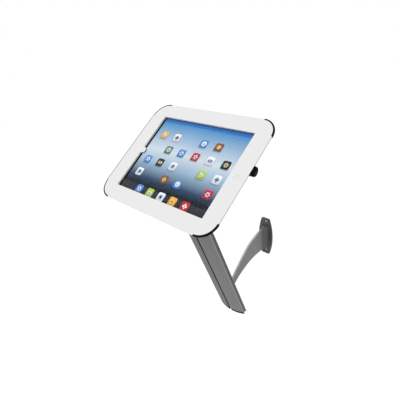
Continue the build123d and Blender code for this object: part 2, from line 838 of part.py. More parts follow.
def make_home_switch():
    """The shallow switch cup glued under the glass, below the home button."""
    high = glass_back - seat_gap
    seat = glass_front - home_button_recess - home_button_thickness - home_travel - seat_gap
    cup = slab(home_switch_width, home_switch_width, home_key_round, seat - home_switch_sheet, high)
    cup -= rod(home_button_radius + shadow_gap, seat, high + overrun)
    return face_frame.location * (home_place * cup)


def make_home_button():
    """The tablet's own round button, dished on top."""
    top = glass_front - home_button_recess
    button = rod(home_button_radius, top - home_button_thickness, top)
    dish_radius = (home_button_radius ** 2 + home_button_dish ** 2) / (2 * home_button_dish)
    button -= Pos(0, 0, top + dish_radius - home_button_dish) * Sphere(dish_radius)
    return face_frame.location * (home_place * button)


def make_home_key():
    """The flush pusher in the cover, with a flange that keeps it in."""
    flange_top = cover_back - seat_gap
    flange_bottom = flange_top - home_flange_thickness
    key = slab(home_key_size, home_key_size, home_key_round - home_key_gap, flange_top, 0)
    key += slab(home_flange_size, home_flange_size, home_key_round, flange_bottom, flange_top)
    stem_bottom = glass_front - home_button_recess - home_button_dish + 2 * seat_gap
    key += rod(home_button_radius / 2, stem_bottom, flange_bottom)
    return face_frame.location * (home_place * key)


def make_cover_hooks():
    """Two hooks on the cover's left side, each with a toe under the tray's rim."""
    outer = -half_face[0] + cover_lip_lean + cover_sheet + seat_gap
    inner = outer + hook_sheet
    toe_top = rim_bottom - shadow_gap
    toe_bottom = toe_top - hook_sheet
    half_width = hook_width / 2
    hooks = []
    for up in (-hook_pitch / 2, hook_pitch / 2):
        hook = block((outer, inner), (-half_width, half_width), (toe_bottom, cover_back - seat_gap))
        hook += block((outer, inner + hook_toe), (-half_width, half_width), (toe_bottom, toe_top))
        hooks.append(face_frame.location * (Pos(0, up, 0) * hook))
    return join(hooks)


def half_round(radius, centre, top, x_range):
    """A round bar along X, cut flat at the level top."""
    bar = Pos(0, 0, -centre) * rod_along_x(radius, *x_range)
    return bar - block(x_range, (-2 * radius, 2 * radius), (top, 2 * radius))


def lock_slope(outer, top):
    """The wedge cut off the housing's outer front edge, so that it falls away from the cover's face."""
    section = Polyline(
        (outer - lock_slope_run, top), (outer, top - lock_slope_depth),
        (outer + overrun, top - lock_slope_depth), (outer + overrun, top + overrun),
        (outer - lock_slope_run, top + overrun), close=True,
    )
    return extrude(Plane.XZ * make_face(section), lock_radius + overrun, both=True)


def make_lock_housing():
    """The half-round black housing in the right edge, with two ears on the tray's rim."""
    edge = half_face[0]
    inner = edge - lock_inner_reach
    body = half_round(lock_radius, lock_centre_depth, cover_back - shadow_gap, (inner, edge + seat_gap))
    nose = half_round(
        lock_radius, lock_centre_depth, -guard_front_setback, (edge + seat_gap, edge + lock_proud)
    )
    housing = body + nose - lock_slope(edge + lock_proud, -guard_front_setback)
    ear_low = edge - rim_inset - lock_ear_width
    reach = lock_radius + lock_ear_reach
    housing += block((ear_low, edge - rim_inset), (-reach, reach), (rim_top + seat_gap, lock_ear_top))
    bore = Pos(0, 0, -lock_core_depth) * rod_along_x(
        lock_core_radius + running_gap, inner - overrun, edge + lock_proud + overrun
    )
    housing -= bore
    for side in (-1, 1):
        hole = rod(lock_screw_radius + seat_gap, rim_top - overrun, lock_ear_top + overrun)
        housing -= Pos(*lock_screw_place(side), 0) * hole
    return face_frame.location * (lock_place * housing)


def lock_screw_place(side):
    """Where an ear's screw stands, from the lock's height."""
    return (half_face[0] - rim_inset - lock_ear_width / 2, side * (lock_radius + lock_ear_reach / 2))


def make_lock_screws():
    """Two small screws that hold the lock's ears down on the rim."""
    screws = []
    for side in (-1, 1):
        screw = rod(lock_screw_head_radius, lock_ear_top, lock_ear_top + lock_screw_head_height)
        screw += rod(lock_screw_radius, rim_bottom, lock_ear_top)
        screws.append(face_frame.location * (lock_place * Pos(*lock_screw_place(side), 0) * screw))
    return join(screws)


def make_lock_core():
    """The turning core with its key slot on the right and a seat for the cam on the left."""
    edge = half_face[0]
    inner = edge - lock_inner_reach
    outer = edge + lock_proud + lock_core_proud
    core = rod_along_x(lock_core_radius, inner - seat_gap, outer)
    core -= block(
        (outer - lock_key_depth, outer + overrun),
        (-lock_key_height / 2, lock_key_height / 2), (-lock_key_width / 2, lock_key_width / 2),
    )
    core -= rod_along_x(cam_screw_radius + seat_gap, inner - overrun, inner + cam_screw_length)
    return at_lock(core)


def at_lock(shape):
    """Carry a shape drawn about X at the origin to the lock core's axis."""
    return face_frame.location * (lock_place * Pos(0, 0, -lock_core_depth) * shape)


def cam_right():
    """The right side of the cam, just off the housing."""
    return half_face[0] - lock_inner_reach - 2 * seat_gap


def make_lock_cam():
    """The flat cam on the core's inner end, pointing up when locked."""
    right = cam_right()
    left = right - cam_thickness
    cam = rod_along_x(lock_core_radius, left, right)
    cam += block((left, right), (0, cam_length - cam_half_width), (-cam_half_width, cam_half_width))
    cam += Pos(0, cam_length - cam_half_width, 0) * rod_along_x(cam_half_width, left, right)
    cam -= rod_along_x(cam_screw_radius + seat_gap, left - overrun, right + overrun)
    return at_lock(cam)


def make_cam_screw():
    """The flush screw that holds the cam on the core."""
    right = cam_right()
    left = right - cam_thickness
    screw = rod_along_x(cam_screw_radius, left, right + cam_screw_length - seat_gap)
    return at_lock(screw)


def make_lock_keeper():
    """The hook under the cover's right side. The cam lies over its toe when locked."""
    right = cam_right()
    left = right - cam_thickness
    toe_top = -cam_half_width - keeper_gap
    toe_bottom = toe_top - keeper_wall
    riser_start = cam_length + keeper_gap
    riser_end = riser_start + keeper_wall
    top = lock_core_depth - cover_sheet - seat_gap
    hook = block((left, right), (riser_start, riser_end), (toe_bottom, top))
    hook += block((left, right), (lock_core_radius + keeper_gap, riser_start), (toe_bottom, toe_top))
    hook += block((left, right), (riser_start, riser_start + keeper_foot), (top - keeper_wall, top))
    return at_lock(hook)


def main():
    """Build every sub-part and write each to its own file."""
    os.makedirs("parts", exist_ok=True)
    named(make_wall_bracket(), "wall_bracket")
    named(make_post(), "post")
    named(make_slot_nut(), "slot_nut")
    named(make_pad_screws(), "pad_screws")
    named(make_post_head(), "post_head")
    named(make_head_bolt(), "head_bolt")
    named(make_tilt_bolt(), "tilt_bolt")
    named(make_tilt_nut(), "tilt_nut")
    friction_start = knuckle_width / 2 + seat_gap
    outer_start = ear_inner() + ear_thickness + seat_gap
    named(washer_pair(friction_washer_radius, friction_washer_thickness, friction_start), "friction_washers")
    named(washer_pair(outer_washer_radius, outer_washer_thickness, outer_start), "bolt_washers")
    named(make_tilt_plate(), "tilt_plate")
    named(make_plate_screws(), "plate_screws")
    named(make_clinch_nuts(), "clinch_nuts")
    named(make_back_tray(), "back_tray")
    named(make_front_cover(), "front_cover")
    guard = make_guard()
    for corner, place in guard_places().items():
        named(face_frame.location * (place * guard), f"corner_guard_{corner}")
    named(make_edge_trim(), "edge_trim")
    named(make_window_gasket(), "window_gasket")
    named(make_foam_pads(), "foam_pads")
    named(make_tablet_shell(), "tablet_shell")
    named(make_tablet_glass(), "tablet_glass")
    named(make_tablet_display(), "tablet_display")
    named(make_tablet_battery(), "tablet_battery")
    named(make_tablet_board(), "tablet_board")
    named(make_home_switch(), "tablet_home_switch")
    named(make_home_button(), "tablet_home_button")
    named(make_home_key(), "home_key")
    named(make_cover_hooks(), "cover_hooks")
    named(make_lock_housing(), "lock_housing")
    named(make_lock_screws(), "lock_screws")
    named(make_lock_core(), "lock_core")
    named(make_lock_cam(), "lock_cam")
    named(make_cam_screw(), "cam_screw")
    named(make_lock_keeper(), "lock_keeper")


main()
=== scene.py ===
"""Dress the wall-mounted tablet security kiosk stand and set up its studio.

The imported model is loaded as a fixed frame, and its nodes get procedural
finishes. The tilt bolt, its nut and two sets of screws are replaced by pieces
worked out here, and the screen's tiles, marks, shadows and border are added.
All of them ride on the frame's bodies. Lengths are in millimetres where a name
says mm, and in metres elsewhere.
"""

import json
from math import cos, pi, radians, sin

import bpy
import numpy as np
from bpy.props import FloatProperty, FloatVectorProperty, PointerProperty
from mathutils import Matrix


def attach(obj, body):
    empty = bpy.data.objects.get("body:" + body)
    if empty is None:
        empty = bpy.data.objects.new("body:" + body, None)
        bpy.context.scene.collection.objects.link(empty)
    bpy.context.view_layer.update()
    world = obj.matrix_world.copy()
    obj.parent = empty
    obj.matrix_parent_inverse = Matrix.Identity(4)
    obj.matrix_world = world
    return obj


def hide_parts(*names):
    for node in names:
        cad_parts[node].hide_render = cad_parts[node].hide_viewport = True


bl_info = {
    "name": "Kiosk stand dresser",
    "version": (1, 0, 0),
    "blender": (4, 5, 0),
    "location": "3D View > Sidebar > Kiosk",
    "description": "Finishes, screen, fasteners and studio of a tablet kiosk stand",
    "category": "Object",
}

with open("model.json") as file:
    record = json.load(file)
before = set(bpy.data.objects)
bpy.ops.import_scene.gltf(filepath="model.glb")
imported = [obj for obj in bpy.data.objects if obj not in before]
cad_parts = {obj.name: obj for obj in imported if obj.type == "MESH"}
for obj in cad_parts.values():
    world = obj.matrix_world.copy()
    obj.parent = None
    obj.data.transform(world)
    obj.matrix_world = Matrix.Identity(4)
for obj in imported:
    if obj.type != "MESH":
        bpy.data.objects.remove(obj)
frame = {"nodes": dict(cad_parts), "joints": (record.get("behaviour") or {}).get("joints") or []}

MM = 0.001


# Directions and places read from the frame

def points_of(node):
    """The vertices of a frame node as one array, in metres."""
    mesh = frame["nodes"][node].data
    places = np.empty(3 * len(mesh.vertices), np.float32)
    mesh.vertices.foreach_get("co", places)
    return places.reshape(-1, 3).astype(float)


def reach_of(node, axes):
    """The lowest and highest coordinates of a node along three axes."""
    along_axes = points_of(node) @ axes.T
    return along_axes.min(0), along_axes.max(0)


def joint_named(name):
    """The record's joint of that name."""
    return next(joint for joint in frame["joints"] if joint["name"] == name)


ACROSS = np.array((1.0, 0.0, 0.0))
FACE_OUT = -np.array(joint_named("home_push")["axis"])
FACE_UP = np.cross(FACE_OUT, ACROSS)
FACE_AXES = np.array((ACROSS, FACE_UP, FACE_OUT))
COVER_LOW, COVER_HIGH = reach_of("front_cover", FACE_AXES)
FACE_PLACE = np.append((COVER_LOW + COVER_HIGH)[:2] / 2, COVER_HIGH[2]) @ FACE_AXES

POST_LEAN = radians(18.9)
POST_UP = np.array((0.0, -sin(POST_LEAN), cos(POST_LEAN)))
POST_REAR = np.array((0.0, cos(POST_LEAN), sin(POST_LEAN)))
POST_AXES = np.array((ACROSS, POST_REAR, POST_UP))

TILT_PLACE = np.array(joint_named("tilt")["pos_m"])


def on_face(points):
    """Points given across, up and out from the middle of the cover's face, put in the frame."""
    return FACE_PLACE + np.asarray(points) @ FACE_AXES


def face_reach(node):
    """A node's lowest and highest coordinates from the middle of the cover's face."""
    low, high = reach_of(node, FACE_AXES)
    start = FACE_PLACE @ FACE_AXES.T
    return low - start, high - start


# Where the painted shade on the cover's lips starts, inside the outline and behind the face: the white
# lips are greyed as if in shade
LIP_REACH = 3.5 * MM
LIP_START = 0.7 * MM
LIP_BLEND = 0.2 * MM
LIP_SHADE = 0.30

# The key's white as a share of the cover's
KEY_SHADE = 0.97

# Where painted light and shade go on the wall bracket: painted shade on its plate, on the fin towards the
# plate and on the plate's rim, and a painted highlight along the fin's top edge, fading towards the wall.
# The rim's blend is so narrow that it acts as a step.
PLATE_FRONT = 4.7 * MM
PLATE_BLEND = 22.0 * MM
PLATE_SHADE = 0.44
RIM_FACING = 0.55
RIM_START = 0.1 * MM
RIM_BLEND = 0.0001
RIM_SHADE = 0.45
FIN_HALF = 2.05 * MM
EDGE_FACING = 0.35
HIGHLIGHT_FADE_START = 22.0 * MM
HIGHLIGHT_FADE_END = 45.0 * MM
HIGHLIGHT_FADE_SHARE = 0.15

# Where painted light and shade go on the post: a painted light on its sides, and painted shade at their
# rear corners, at its lower end, in its slots and on the strip left of them.
# The stretch draws the grain out along the post.
POST_STRETCH = (1.0, 1.0, 0.012)
POST_SIDE_HALF = 4.2 * MM
SIDE_BLEND = 1.6 * MM
SIDE_LIGHT_SHARE = 1.6
EDGE_WIDTH = 1.4 * MM
EDGE_SHADE = 0.45
END_LINE = 6.0 * MM
END_BLEND = 3.0 * MM
END_SHADE = 0.20
SLOT_HALF = 2.12 * MM
SLOT_BLEND = 0.3 * MM
SLOT_SHADE = 0.45
STRIP_SHADE = 0.85

# Colours that have no setting of their own, and the glass
LOCK_METAL = (0.008, 0.008, 0.009)
FIBRE = (0.075, 0.060, 0.045)
FOAM = (0.030, 0.030, 0.031)
POUCH = (0.050, 0.050, 0.054)
SOLDER_MASK = (0.014, 0.070, 0.040)
TABLET_BLACK = (0.010, 0.010, 0.011)
PRINT_BLACK = (0.003, 0.003, 0.004)
PANEL_BLACK = (0.005, 0.005, 0.006, 1.0)
WHITE = (1.0, 1.0, 1.0, 1.0)
GLASS_TINT = (0.98, 0.99, 1.0, 1.0)
GLASS_BENDING, SMEAR_SCALE, SMEAR_ROUGHNESS = 1.12, 26.0, 0.03

# Heights of the background's colours as shares of the screen's, and the shares that mix them
SCREEN_STOPS = (0.0, 0.085, 0.097, 0.115, 0.20, 0.40, 0.57, 0.77, 0.945, 0.952, 1.0)
DOCK_LIFT, DOCK_TOP, DOCK_SHADE = 0.016, 1.6, 0.7
HAZE, VEIL, BAR_TOP = 0.48, 0.43, 0.5
CLOUD_SCALE, CLOUD_LOW, CLOUD_SPAN = 14.0, 0.88, 0.24

# Tile colours, bottom to top of the screen and left to right. None leaves the place bare.
RED, YELLOW, GREEN, BLUE = (0.55, 0.03, 0.05), (0.80, 0.42, 0.06), (0.42, 0.58, 0.06), (0.08, 0.26, 0.66)
PALE, DARK, BROWN, TEAL = (0.78, 0.82, 0.86), (0.03, 0.035, 0.045), (0.24, 0.09, 0.04), (0.05, 0.20, 0.24)
TILE_ROWS = (
    (PALE, None, BROWN, BLUE, None, RED),
    (BLUE, DARK, PALE, None, GREEN, PALE),
    (None, TEAL, BLUE, RED, PALE, DARK),
    (YELLOW, PALE, None, BLUE, BROWN, None),
)
DOCK_TILES = (BLUE, GREEN, PALE, YELLOW, RED)
FIRST_ROW = -38.0 * MM
DOCK_ROW = -66.5 * MM
DOCK_PITCH = 0.85

# Marks on the tiles, the dots on the marks and the shadows below, with sizes as shares of the
# tile's, and the powers of their outlines, where two makes a circle
MARK_LOBES = (3, 4, 0, 6, 5, 2, 8)
MARK_TONES = ((0.86, 0.88, 0.90), (0.75, 0.62, 0.30), (0.80, 0.84, 0.88), (0.62, 0.78, 0.90))
MARK_ON_PALE = ((0.10, 0.24, 0.50), (0.42, 0.10, 0.08))
PALE_SUM = 1.5
DOT_TONES = (DARK, RED, YELLOW, BROWN, BLUE)
MARK_SIZE, MARK_SWELL, DOT_SIZE, TILE_GLOSS = 0.62, 0.28, 0.22, 0.45
SHADOW_SIZE, SHADOW_DROP, SHADOW_DEPTH = 1.24, 0.20, 0.62
ROUND_POWER, SHADOW_POWER, TILE_POWER = 2.0, 4.0, 6.0
LEVEL_SHARES = (0.10, 0.25, 0.45, 0.60)
TONE_NAME = "tone"

# The black border: its room to the glass's edge, its lap over the screen, its inner and outer
# corners, and its front and back as shares of the gap behind the glass
BORDER_ROOM = 0.4 * MM
BORDER_LAP = 0.1 * MM
SCREEN_CORNER = 0.8 * MM
GLASS_CORNER = 11.0 * MM
BORDER_SHARES = (0.1, 0.3)

# The turned fasteners. Shank, head, key and bore are radii, and a nut's flats a width.
TILT_BOLT = {
    "shank": 4.0 * MM, "head": 6.5 * MM, "head_height": 8.0 * MM, "key": 3.4 * MM,
    "key_depth": 4.0 * MM, "pitch": 1.25 * MM, "threaded": 14.0 * MM,
}
PAD_SCREW = {
    "shank": 3.0 * MM, "head": 5.0 * MM, "head_height": 6.0 * MM, "key": 2.6 * MM,
    "key_depth": 3.0 * MM, "pitch": 1.0 * MM, "threaded": 6.0 * MM,
}
PLATE_SCREW = {
    "shank": 2.0 * MM, "head": 4.0 * MM, "head_height": 2.6 * MM, "key": 1.4 * MM,
    "key_depth": 1.5 * MM, "pitch": 0.7 * MM, "threaded": 4.0 * MM, "knurls": 24,
}
TILT_NUT = {"flats": 13.0 * MM, "bore": 4.05 * MM, "collar": 1.4 * MM}

# Shares that shape them: chamfer and knurls of the head, thread of the pitch, and the cone below
# the key of the key. On a nut, the collar's radii of the flats and the chamfers' of the corners.
CHAMFER_SHARE, KNURL_SHARE, THREAD_SHARE, THREAD_STEPS = 0.09, 0.014, 0.16, 8
CONE_WIDTH, CONE_DEPTH = 0.55, 0.12
COLLAR_TOP, COLLAR_SIDE, COLLAR_FOOT, COLLAR_EDGE = 0.80, 0.88, 0.90, 0.25
CORNER_TOP, CORNER_SEAT, CORNER_HEIGHT, NUT_COLUMNS = 0.93, 0.96, 0.06, 96
SHARP_ANGLE = radians(28.0)

# The studio: the floor's grid and finish, the lamp, and the camera's two directions
FLOOR_HALF, FLOOR_CELLS = 6.0, 8
FLOOR_WHITE, FLOOR_GLOW = (0.80, 0.80, 0.80, 1.0), 0.30
FLOOR_ROUGH, FLOOR_SPREAD, FLOOR_PATCHES = 0.8, 0.1, 3.0
LAMP_SOFTNESS = radians(35.0)
LAMP_TURN = (radians(34.0), radians(-5.0), 0.0)
CAMERA_RIGHT = np.array((0.72045, 0.68842, -0.08382))
CAMERA_UP = np.array((-0.26493, 0.38490, 0.88412))
SENSOR_WIDTH_MM = 36.0
CLIP_START, CLIP_END = 0.01, 100.0


# Sizes and colours that a user may change

def colour(name, words, default):
    """A colour property."""
    return FloatVectorProperty(
        name=name, description=words, subtype="COLOR", size=3, min=0.0, max=1.0, default=default
    )


def number(name, words, default):
    """A plain number."""
    return FloatProperty(name=name, description=words, min=0.0, default=default)


def length(name, words, default):
    """A length property in metres."""
    return FloatProperty(
        name=name, description=words, subtype="DISTANCE", unit="LENGTH", default=default
    )


class KioskFinishes(bpy.types.PropertyGroup):
    """Colours of the stand's finishes."""

    cover: colour("Cover", "White powder coat of the front cover", (0.80, 0.80, 0.80))
    guards: colour("Guards", "Black moulded plastic of the guards and the lock", (0.004, 0.004, 0.005))
    tray: colour("Tray", "Black powder coat of the tray", (0.016, 0.016, 0.018))
    post: colour("Post", "Grey anodised skin of the post", (0.240, 0.244, 0.238))
    casting: colour(
        "Casting", "Grey paint of the bracket, the head and the tilt plate", (0.212, 0.218, 0.214)
    )
    # painted highlight: the colour of the light painted along the fin's top edge
    edge_highlight: colour("Edge highlight", "Painted highlight along the fin's top edge", (0.88, 0.88, 0.88))
    steel: colour("Steel", "Zinc plated steel of the fasteners", (0.48, 0.48, 0.49))
    shell: colour("Shell", "Blasted aluminium of the tablet's back", (0.56, 0.56, 0.57))


class KioskScreen(bpy.types.PropertyGroup):
    """Sizes and colours of the lit screen."""

    tile: length("Tile", "Width of one tile", 15.0 * MM)
    column_pitch: length("Column pitch", "Distance between tile columns", 31.0 * MM)
    row_pitch: length("Row pitch", "Distance between tile rows", 26.0 * MM)
    bar: colour("Bar", "Bar along the top of the screen", (0.045, 0.190, 0.600))
    blue: colour("Blue", "Blue at the top of the screen's background", (0.075, 0.290, 0.570))
    sky: colour("Sky", "Brightest colour of the screen's background", (0.660, 0.755, 0.815))
    dusk: colour("Dusk", "Dark blue below the middle of the screen", (0.030, 0.066, 0.130))
    deep: colour("Deep", "Darkest colour of the screen's background", (0.010, 0.013, 0.019))
    glow: number("Glow", "Strength of the lit screen", 1.0)


class KioskStudio(bpy.types.PropertyGroup):
    """The camera, the floor, the lamp and the even light."""

    lens: number("Lens", "Focal length on a 36 mm sensor", 33.35)
    camera_place: FloatVectorProperty(
        name="Camera place", description="Where the camera stands", subtype="TRANSLATION", unit="LENGTH",
        default=(0.41043, -0.59119, 0.47107),
    )
    floor_drop: length("Floor drop", "How far the floor lies below the wall plate", 0.95)
    key_strength: number("Key strength", "Strength of the soft key lamp", 1.15)
    sky_strength: number("Sky strength", "Strength of the even light", 0.66)


# Node trees

NUMBER, COLOUR, VECTOR = "NodeSocketFloat", "NodeSocketColor", "NodeSocketVector"


def add_node(tree, kind, inputs=None, **settings):
    """Add a node. An input is a constant, or a socket to join to."""
    node = tree.nodes.new(kind)
    for name, value in settings.items():
        setattr(node, name, value)
    for name, value in (inputs or {}).items():
        socket = node.inputs[name]
        if isinstance(value, bpy.types.NodeSocket):
            tree.links.new(value, socket)
        else:
            socket.default_value = value
    return node


def maths(tree, operation, first, second=0.0):
    """One step of arithmetic, clamped nowhere."""
    return add_node(tree, "ShaderNodeMath", {0: first, 1: second}, operation=operation).outputs[0]


def less(tree, first, second):
    """The first less the second."""
    return maths(tree, "SUBTRACT", first, second)


def mapped(tree, value, start, end, low=0.0, high=1.0):
    """A value's way from start to end, put between low and high and held there."""
    inputs = {"Value": value, "From Min": start, "From Max": end, "To Min": low, "To Max": high}
    return add_node(tree, "ShaderNodeMapRange", inputs).outputs[0]


def split(tree, vector):
    """A vector's three parts."""
    return add_node(tree, "ShaderNodeSeparateXYZ", {"Vector": vector}).outputs


def scaled(tree, painted, share):
    """A colour times a share."""
    inputs = {0: painted, "Scale": share}
    return add_node(tree, "ShaderNodeVectorMath", inputs, operation="SCALE").outputs[0]


def along(tree, vector, axis):
    """How far a vector reaches along a direction."""
    inputs = {0: vector, 1: tuple(axis)}
    return add_node(tree, "ShaderNodeVectorMath", inputs, operation="DOT_PRODUCT").outputs["Value"]


def noise(tree, place, scale, detail=2.0):
    """A noise about one half."""
    inputs = {"Vector": place, "Scale": scale, "Detail": detail}
    return add_node(tree, "ShaderNodeTexNoise", inputs).outputs["Fac"]


def object_place(tree):
    """The object coordinates."""
    return add_node(tree, "ShaderNodeTexCoord").outputs["Object"]


def new_material(name):
    """An empty material and its tree."""
    material = bpy.data.materials.new(name)
    material.use_nodes = True
    material.node_tree.nodes.clear()
    return material, material.node_tree


def add_shader(tree, inputs):
    """End a material's tree with its shader."""
    shader = add_node(tree, "ShaderNodeBsdfPrincipled", inputs)
    add_node(tree, "ShaderNodeOutputMaterial", {"Surface": shader.outputs[0]})


def new_group(name, inputs, outputs):
    """An empty shader group with named sockets, its input node and its output node."""
    group = bpy.data.node_groups.new(name, "ShaderNodeTree")
    for way, sockets in (("INPUT", inputs), ("OUTPUT", outputs)):
        for socket, kind in sockets.items():
            group.interface.new_socket(socket, in_out=way, socket_type=kind)
    return group, group.nodes.new("NodeGroupInput"), group.nodes.new("NodeGroupOutput")


def grain_group():
    """Grain of a finish: two noises give a height, and shift the colour and the roughness a little."""
    group, given, result = new_group(
        "Grain",
        {
            "Place": VECTOR, "Scale": NUMBER, "Base": COLOUR, "Tint": NUMBER, "Roughness": NUMBER,
            "Spread": NUMBER, "Patch Scale": NUMBER,
        },
        {"Colour": COLOUR, "Roughness": NUMBER, "Height": NUMBER},
    )
    socket = given.outputs
    fine = noise(group, socket["Place"], socket["Scale"])
    coarse = noise(group, socket["Place"], socket["Patch Scale"], detail=3.0)
    centred = less(group, maths(group, "ADD", fine, coarse), 1.0)
    shade = maths(group, "ADD", 1.0, maths(group, "MULTIPLY", centred, socket["Tint"]))
    uneven = maths(group, "MULTIPLY", centred, socket["Spread"])
    rough = maths(group, "ADD", socket["Roughness"], uneven)
    held = add_node(group, "ShaderNodeClamp", {"Value": rough}).outputs[0]
    group.links.new(scaled(group, socket["Base"], shade), result.inputs["Colour"])
    group.links.new(held, result.inputs["Roughness"])
    group.links.new(fine, result.inputs["Height"])


def edge_group():
    """Edge shade: a colour falls to a share of itself where the distance to an edge falls to zero."""
    group, given, result = new_group(
        "Edge shade", {"Colour": COLOUR, "Distance": NUMBER, "Width": NUMBER, "Shade": NUMBER},
        {"Colour": COLOUR},
    )
    socket = given.outputs
    kept = mapped(group, socket["Distance"], 0.0, socket["Width"], low=socket["Shade"])
    group.links.new(scaled(group, socket["Colour"], kept), result.inputs["Colour"])


def edge_shaded(tree, painted, distance, width, shade):
    """Pass a colour through the edge shade."""
    inputs = {"Colour": painted, "Distance": distance, "Width": width, "Shade": shade}
    group = bpy.data.node_groups["Edge shade"]
    return add_node(tree, "ShaderNodeGroup", inputs, node_tree=group).outputs["Colour"]


def opened(material):
    """A finish's tree, its shader, the socket that holds its colour, and the object coordinates."""
    tree = material.node_tree
    shader = next(node for node in tree.nodes if node.type == "BSDF_PRINCIPLED")
    painted = shader.inputs["Base Color"].links[0].from_socket
    return tree, shader, painted, object_place(tree)


def finish_of(name, base, rough, scale=900.0, stretch=(1.0, 1.0, 1.0), turn=(0.0, 0.0, 0.0), tint=0.06,
              spread=0.12, patch_scale=18.0, depth_mm=0.02, metallic=0.0, specular=0.5):
    """A painted, moulded or metal finish, with a grain of some depth on turned and stretched places."""
    material, tree = new_material(name)
    spun = add_node(tree, "ShaderNodeMapping", {"Vector": object_place(tree), "Rotation": turn})
    drawn = add_node(tree, "ShaderNodeVectorMath", {0: spun.outputs[0], 1: stretch}, operation="MULTIPLY")
    inputs = {
        "Place": drawn.outputs[0], "Scale": scale, "Base": (*base, 1.0), "Tint": tint,
        "Roughness": rough, "Spread": spread, "Patch Scale": patch_scale,
    }
    group = bpy.data.node_groups["Grain"]
    grain = add_node(tree, "ShaderNodeGroup", inputs, node_tree=group).outputs
    bump = add_node(
        tree, "ShaderNodeBump", {"Height": grain["Height"], "Strength": 1.0, "Distance": depth_mm * MM}
    )
    add_shader(tree, {
        "Base Color": grain["Colour"], "Roughness": grain["Roughness"], "Normal": bump.outputs[0],
        "Metallic": metallic, "Specular IOR Level": specular,
    })
    return material


def paint(material, *nodes):
    """Give frame nodes one finish."""
    for node in nodes:
        data = frame["nodes"][node].data
        data.materials.clear()
        data.materials.append(material)


def new_object(name, data):
    """An object of the scene."""
    made = bpy.data.objects.new(name, data)
    bpy.context.scene.collection.objects.link(made)
    return made


# Surfaces

def mesh_piece(name, points, faces, material, body, slot):
    """A piece from an array of points and blocks of faces, smooth but for sharp turns, on a body."""
    mesh = bpy.data.meshes.new(name)
    corners = [face for block in faces for face in block.tolist()]
    mesh.from_pydata(np.asarray(points, float).tolist(), [], corners)
    mesh.validate()
    mesh.update()
    mesh.materials.append(material)
    mesh.shade_smooth()
    mesh.set_sharp_from_angle(angle=SHARP_ANGLE)
    piece = new_object(name, mesh)
    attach(piece, body)
    return piece


def ring_quads(rows, columns, closed=False):
    """Quads between neighbouring rings of a grid, and from the last ring to the first if closed."""
    lines = np.arange(rows if closed else rows - 1)
    row, column = np.meshgrid(lines, np.arange(columns), indexing="ij")
    start, end = row * columns, (row + 1) % rows * columns
    beside = (column + 1) % columns
    corners = (start + column, start + beside, end + beside, end + column)
    return np.stack(corners, -1).reshape(-1, 4)


def ring_points(radii, levels):
    """A grid of rings: point (row, turn) is (r cos turn, r sin turn, level), with its own radius r."""
    turn = np.linspace(0, 2 * pi, radii.shape[1], endpoint=False)
    return np.stack((radii * np.cos(turn), radii * np.sin(turn), levels), -1).reshape(-1, 3)


def rings_apart(rings, ones):
    """The radii and the levels of a list of rings as two arrays."""
    radii = np.array([ring * ones for ring, _ in rings])
    return radii, np.array([level * ones for _, level in rings])


def turned(radii, levels):
    """A closed turned surface: rings from the top's inward end down, and a point at each end."""
    rows, columns = radii.shape
    ends = np.array(((0, 0, levels[0].mean()), (0, 0, levels[-1].mean())))
    first, last = rows * columns, rows * columns + 1
    around = np.arange(columns)
    beside = (around + 1) % columns
    top = np.stack((np.full(columns, first), beside, around), -1)
    base = (rows - 1) * columns
    bottom = np.stack((np.full(columns, last), base + around, base + beside), -1)
    faces = (ring_quads(rows, columns)[:, ::-1], top[:, ::-1], bottom[:, ::-1])
    return np.vstack((ring_points(radii, levels), ends)), faces


def joined(parts):
    """Several surfaces as one array of points and one list of face blocks."""
    points, faces, start = [], [], 0
    for part_points, part_faces in parts:
        points.append(part_points)
        faces.extend(block + start for block in part_faces)
        start += len(part_points)
    return np.vstack(points), faces


def placed(surface, place, axes):
    """A surface drawn on its own axes, put where its origin and its three directions say."""
    points, faces = surface
    return np.asarray(place) + points @ np.asarray(axes), faces


def hexagon(turn, corner):
    """The radius of a hexagon: its flat's distance over the cosine of the angle from the flat's middle."""
    third = pi / 3
    return corner * cos(pi / 6) / np.cos(np.mod(turn, third) - third / 2)


def cap_screw(reach, shank, head, head_height, key, key_depth, pitch, threaded, knurls=36):
    """A cap screw on Z with its head resting on zero, all lengths in metres.

    The rings run from the socket's floor up its six walls, over the chamfered
    rim, down the knurled side and along the shank. A knurl lowers the side by a
    cosine of its turn, and the thread by a cosine of turn and height together.
    """
    turn = np.linspace(0, 2 * pi, 4 * knurls, endpoint=False)
    six = hexagon(turn, key)
    chamfer = CHAMFER_SHARE * head
    knurled = head * (1 - KNURL_SHARE * (1 - np.cos(knurls * turn)))
    floor = head_height - key_depth
    # Each ring is a radius and a height. The head's edges are a few shares of the chamfer.
    rings = [
        (CONE_WIDTH * six, floor - CONE_DEPTH * key), (six, floor), (six, head_height - 0.3 * chamfer),
        (six + 0.4 * chamfer, head_height), (head - 1.6 * chamfer, head_height),
        (head - chamfer, head_height - 0.25 * chamfer), (knurled, head_height - 1.3 * chamfer),
        (knurled, 0.5 * head_height), (knurled, 0.6 * chamfer), (head - 0.6 * chamfer, 0.0),
        (shank, 0.0), (shank, threaded - reach),
    ]
    heights = threaded - reach - np.arange(0, threaded - 0.5 * pitch, pitch / THREAD_STEPS)
    depth = THREAD_SHARE * pitch
    thread = shank - depth * (1 - np.cos(2 * pi * heights[1:, None] / pitch - turn))
    rings += zip(thread, heights[1:])
    rings += [(shank - 2 * depth, heights[-1] - 0.2 * pitch), (shank - 3 * depth, -reach)]
    return turned(*rings_apart(rings, np.ones(len(turn))))


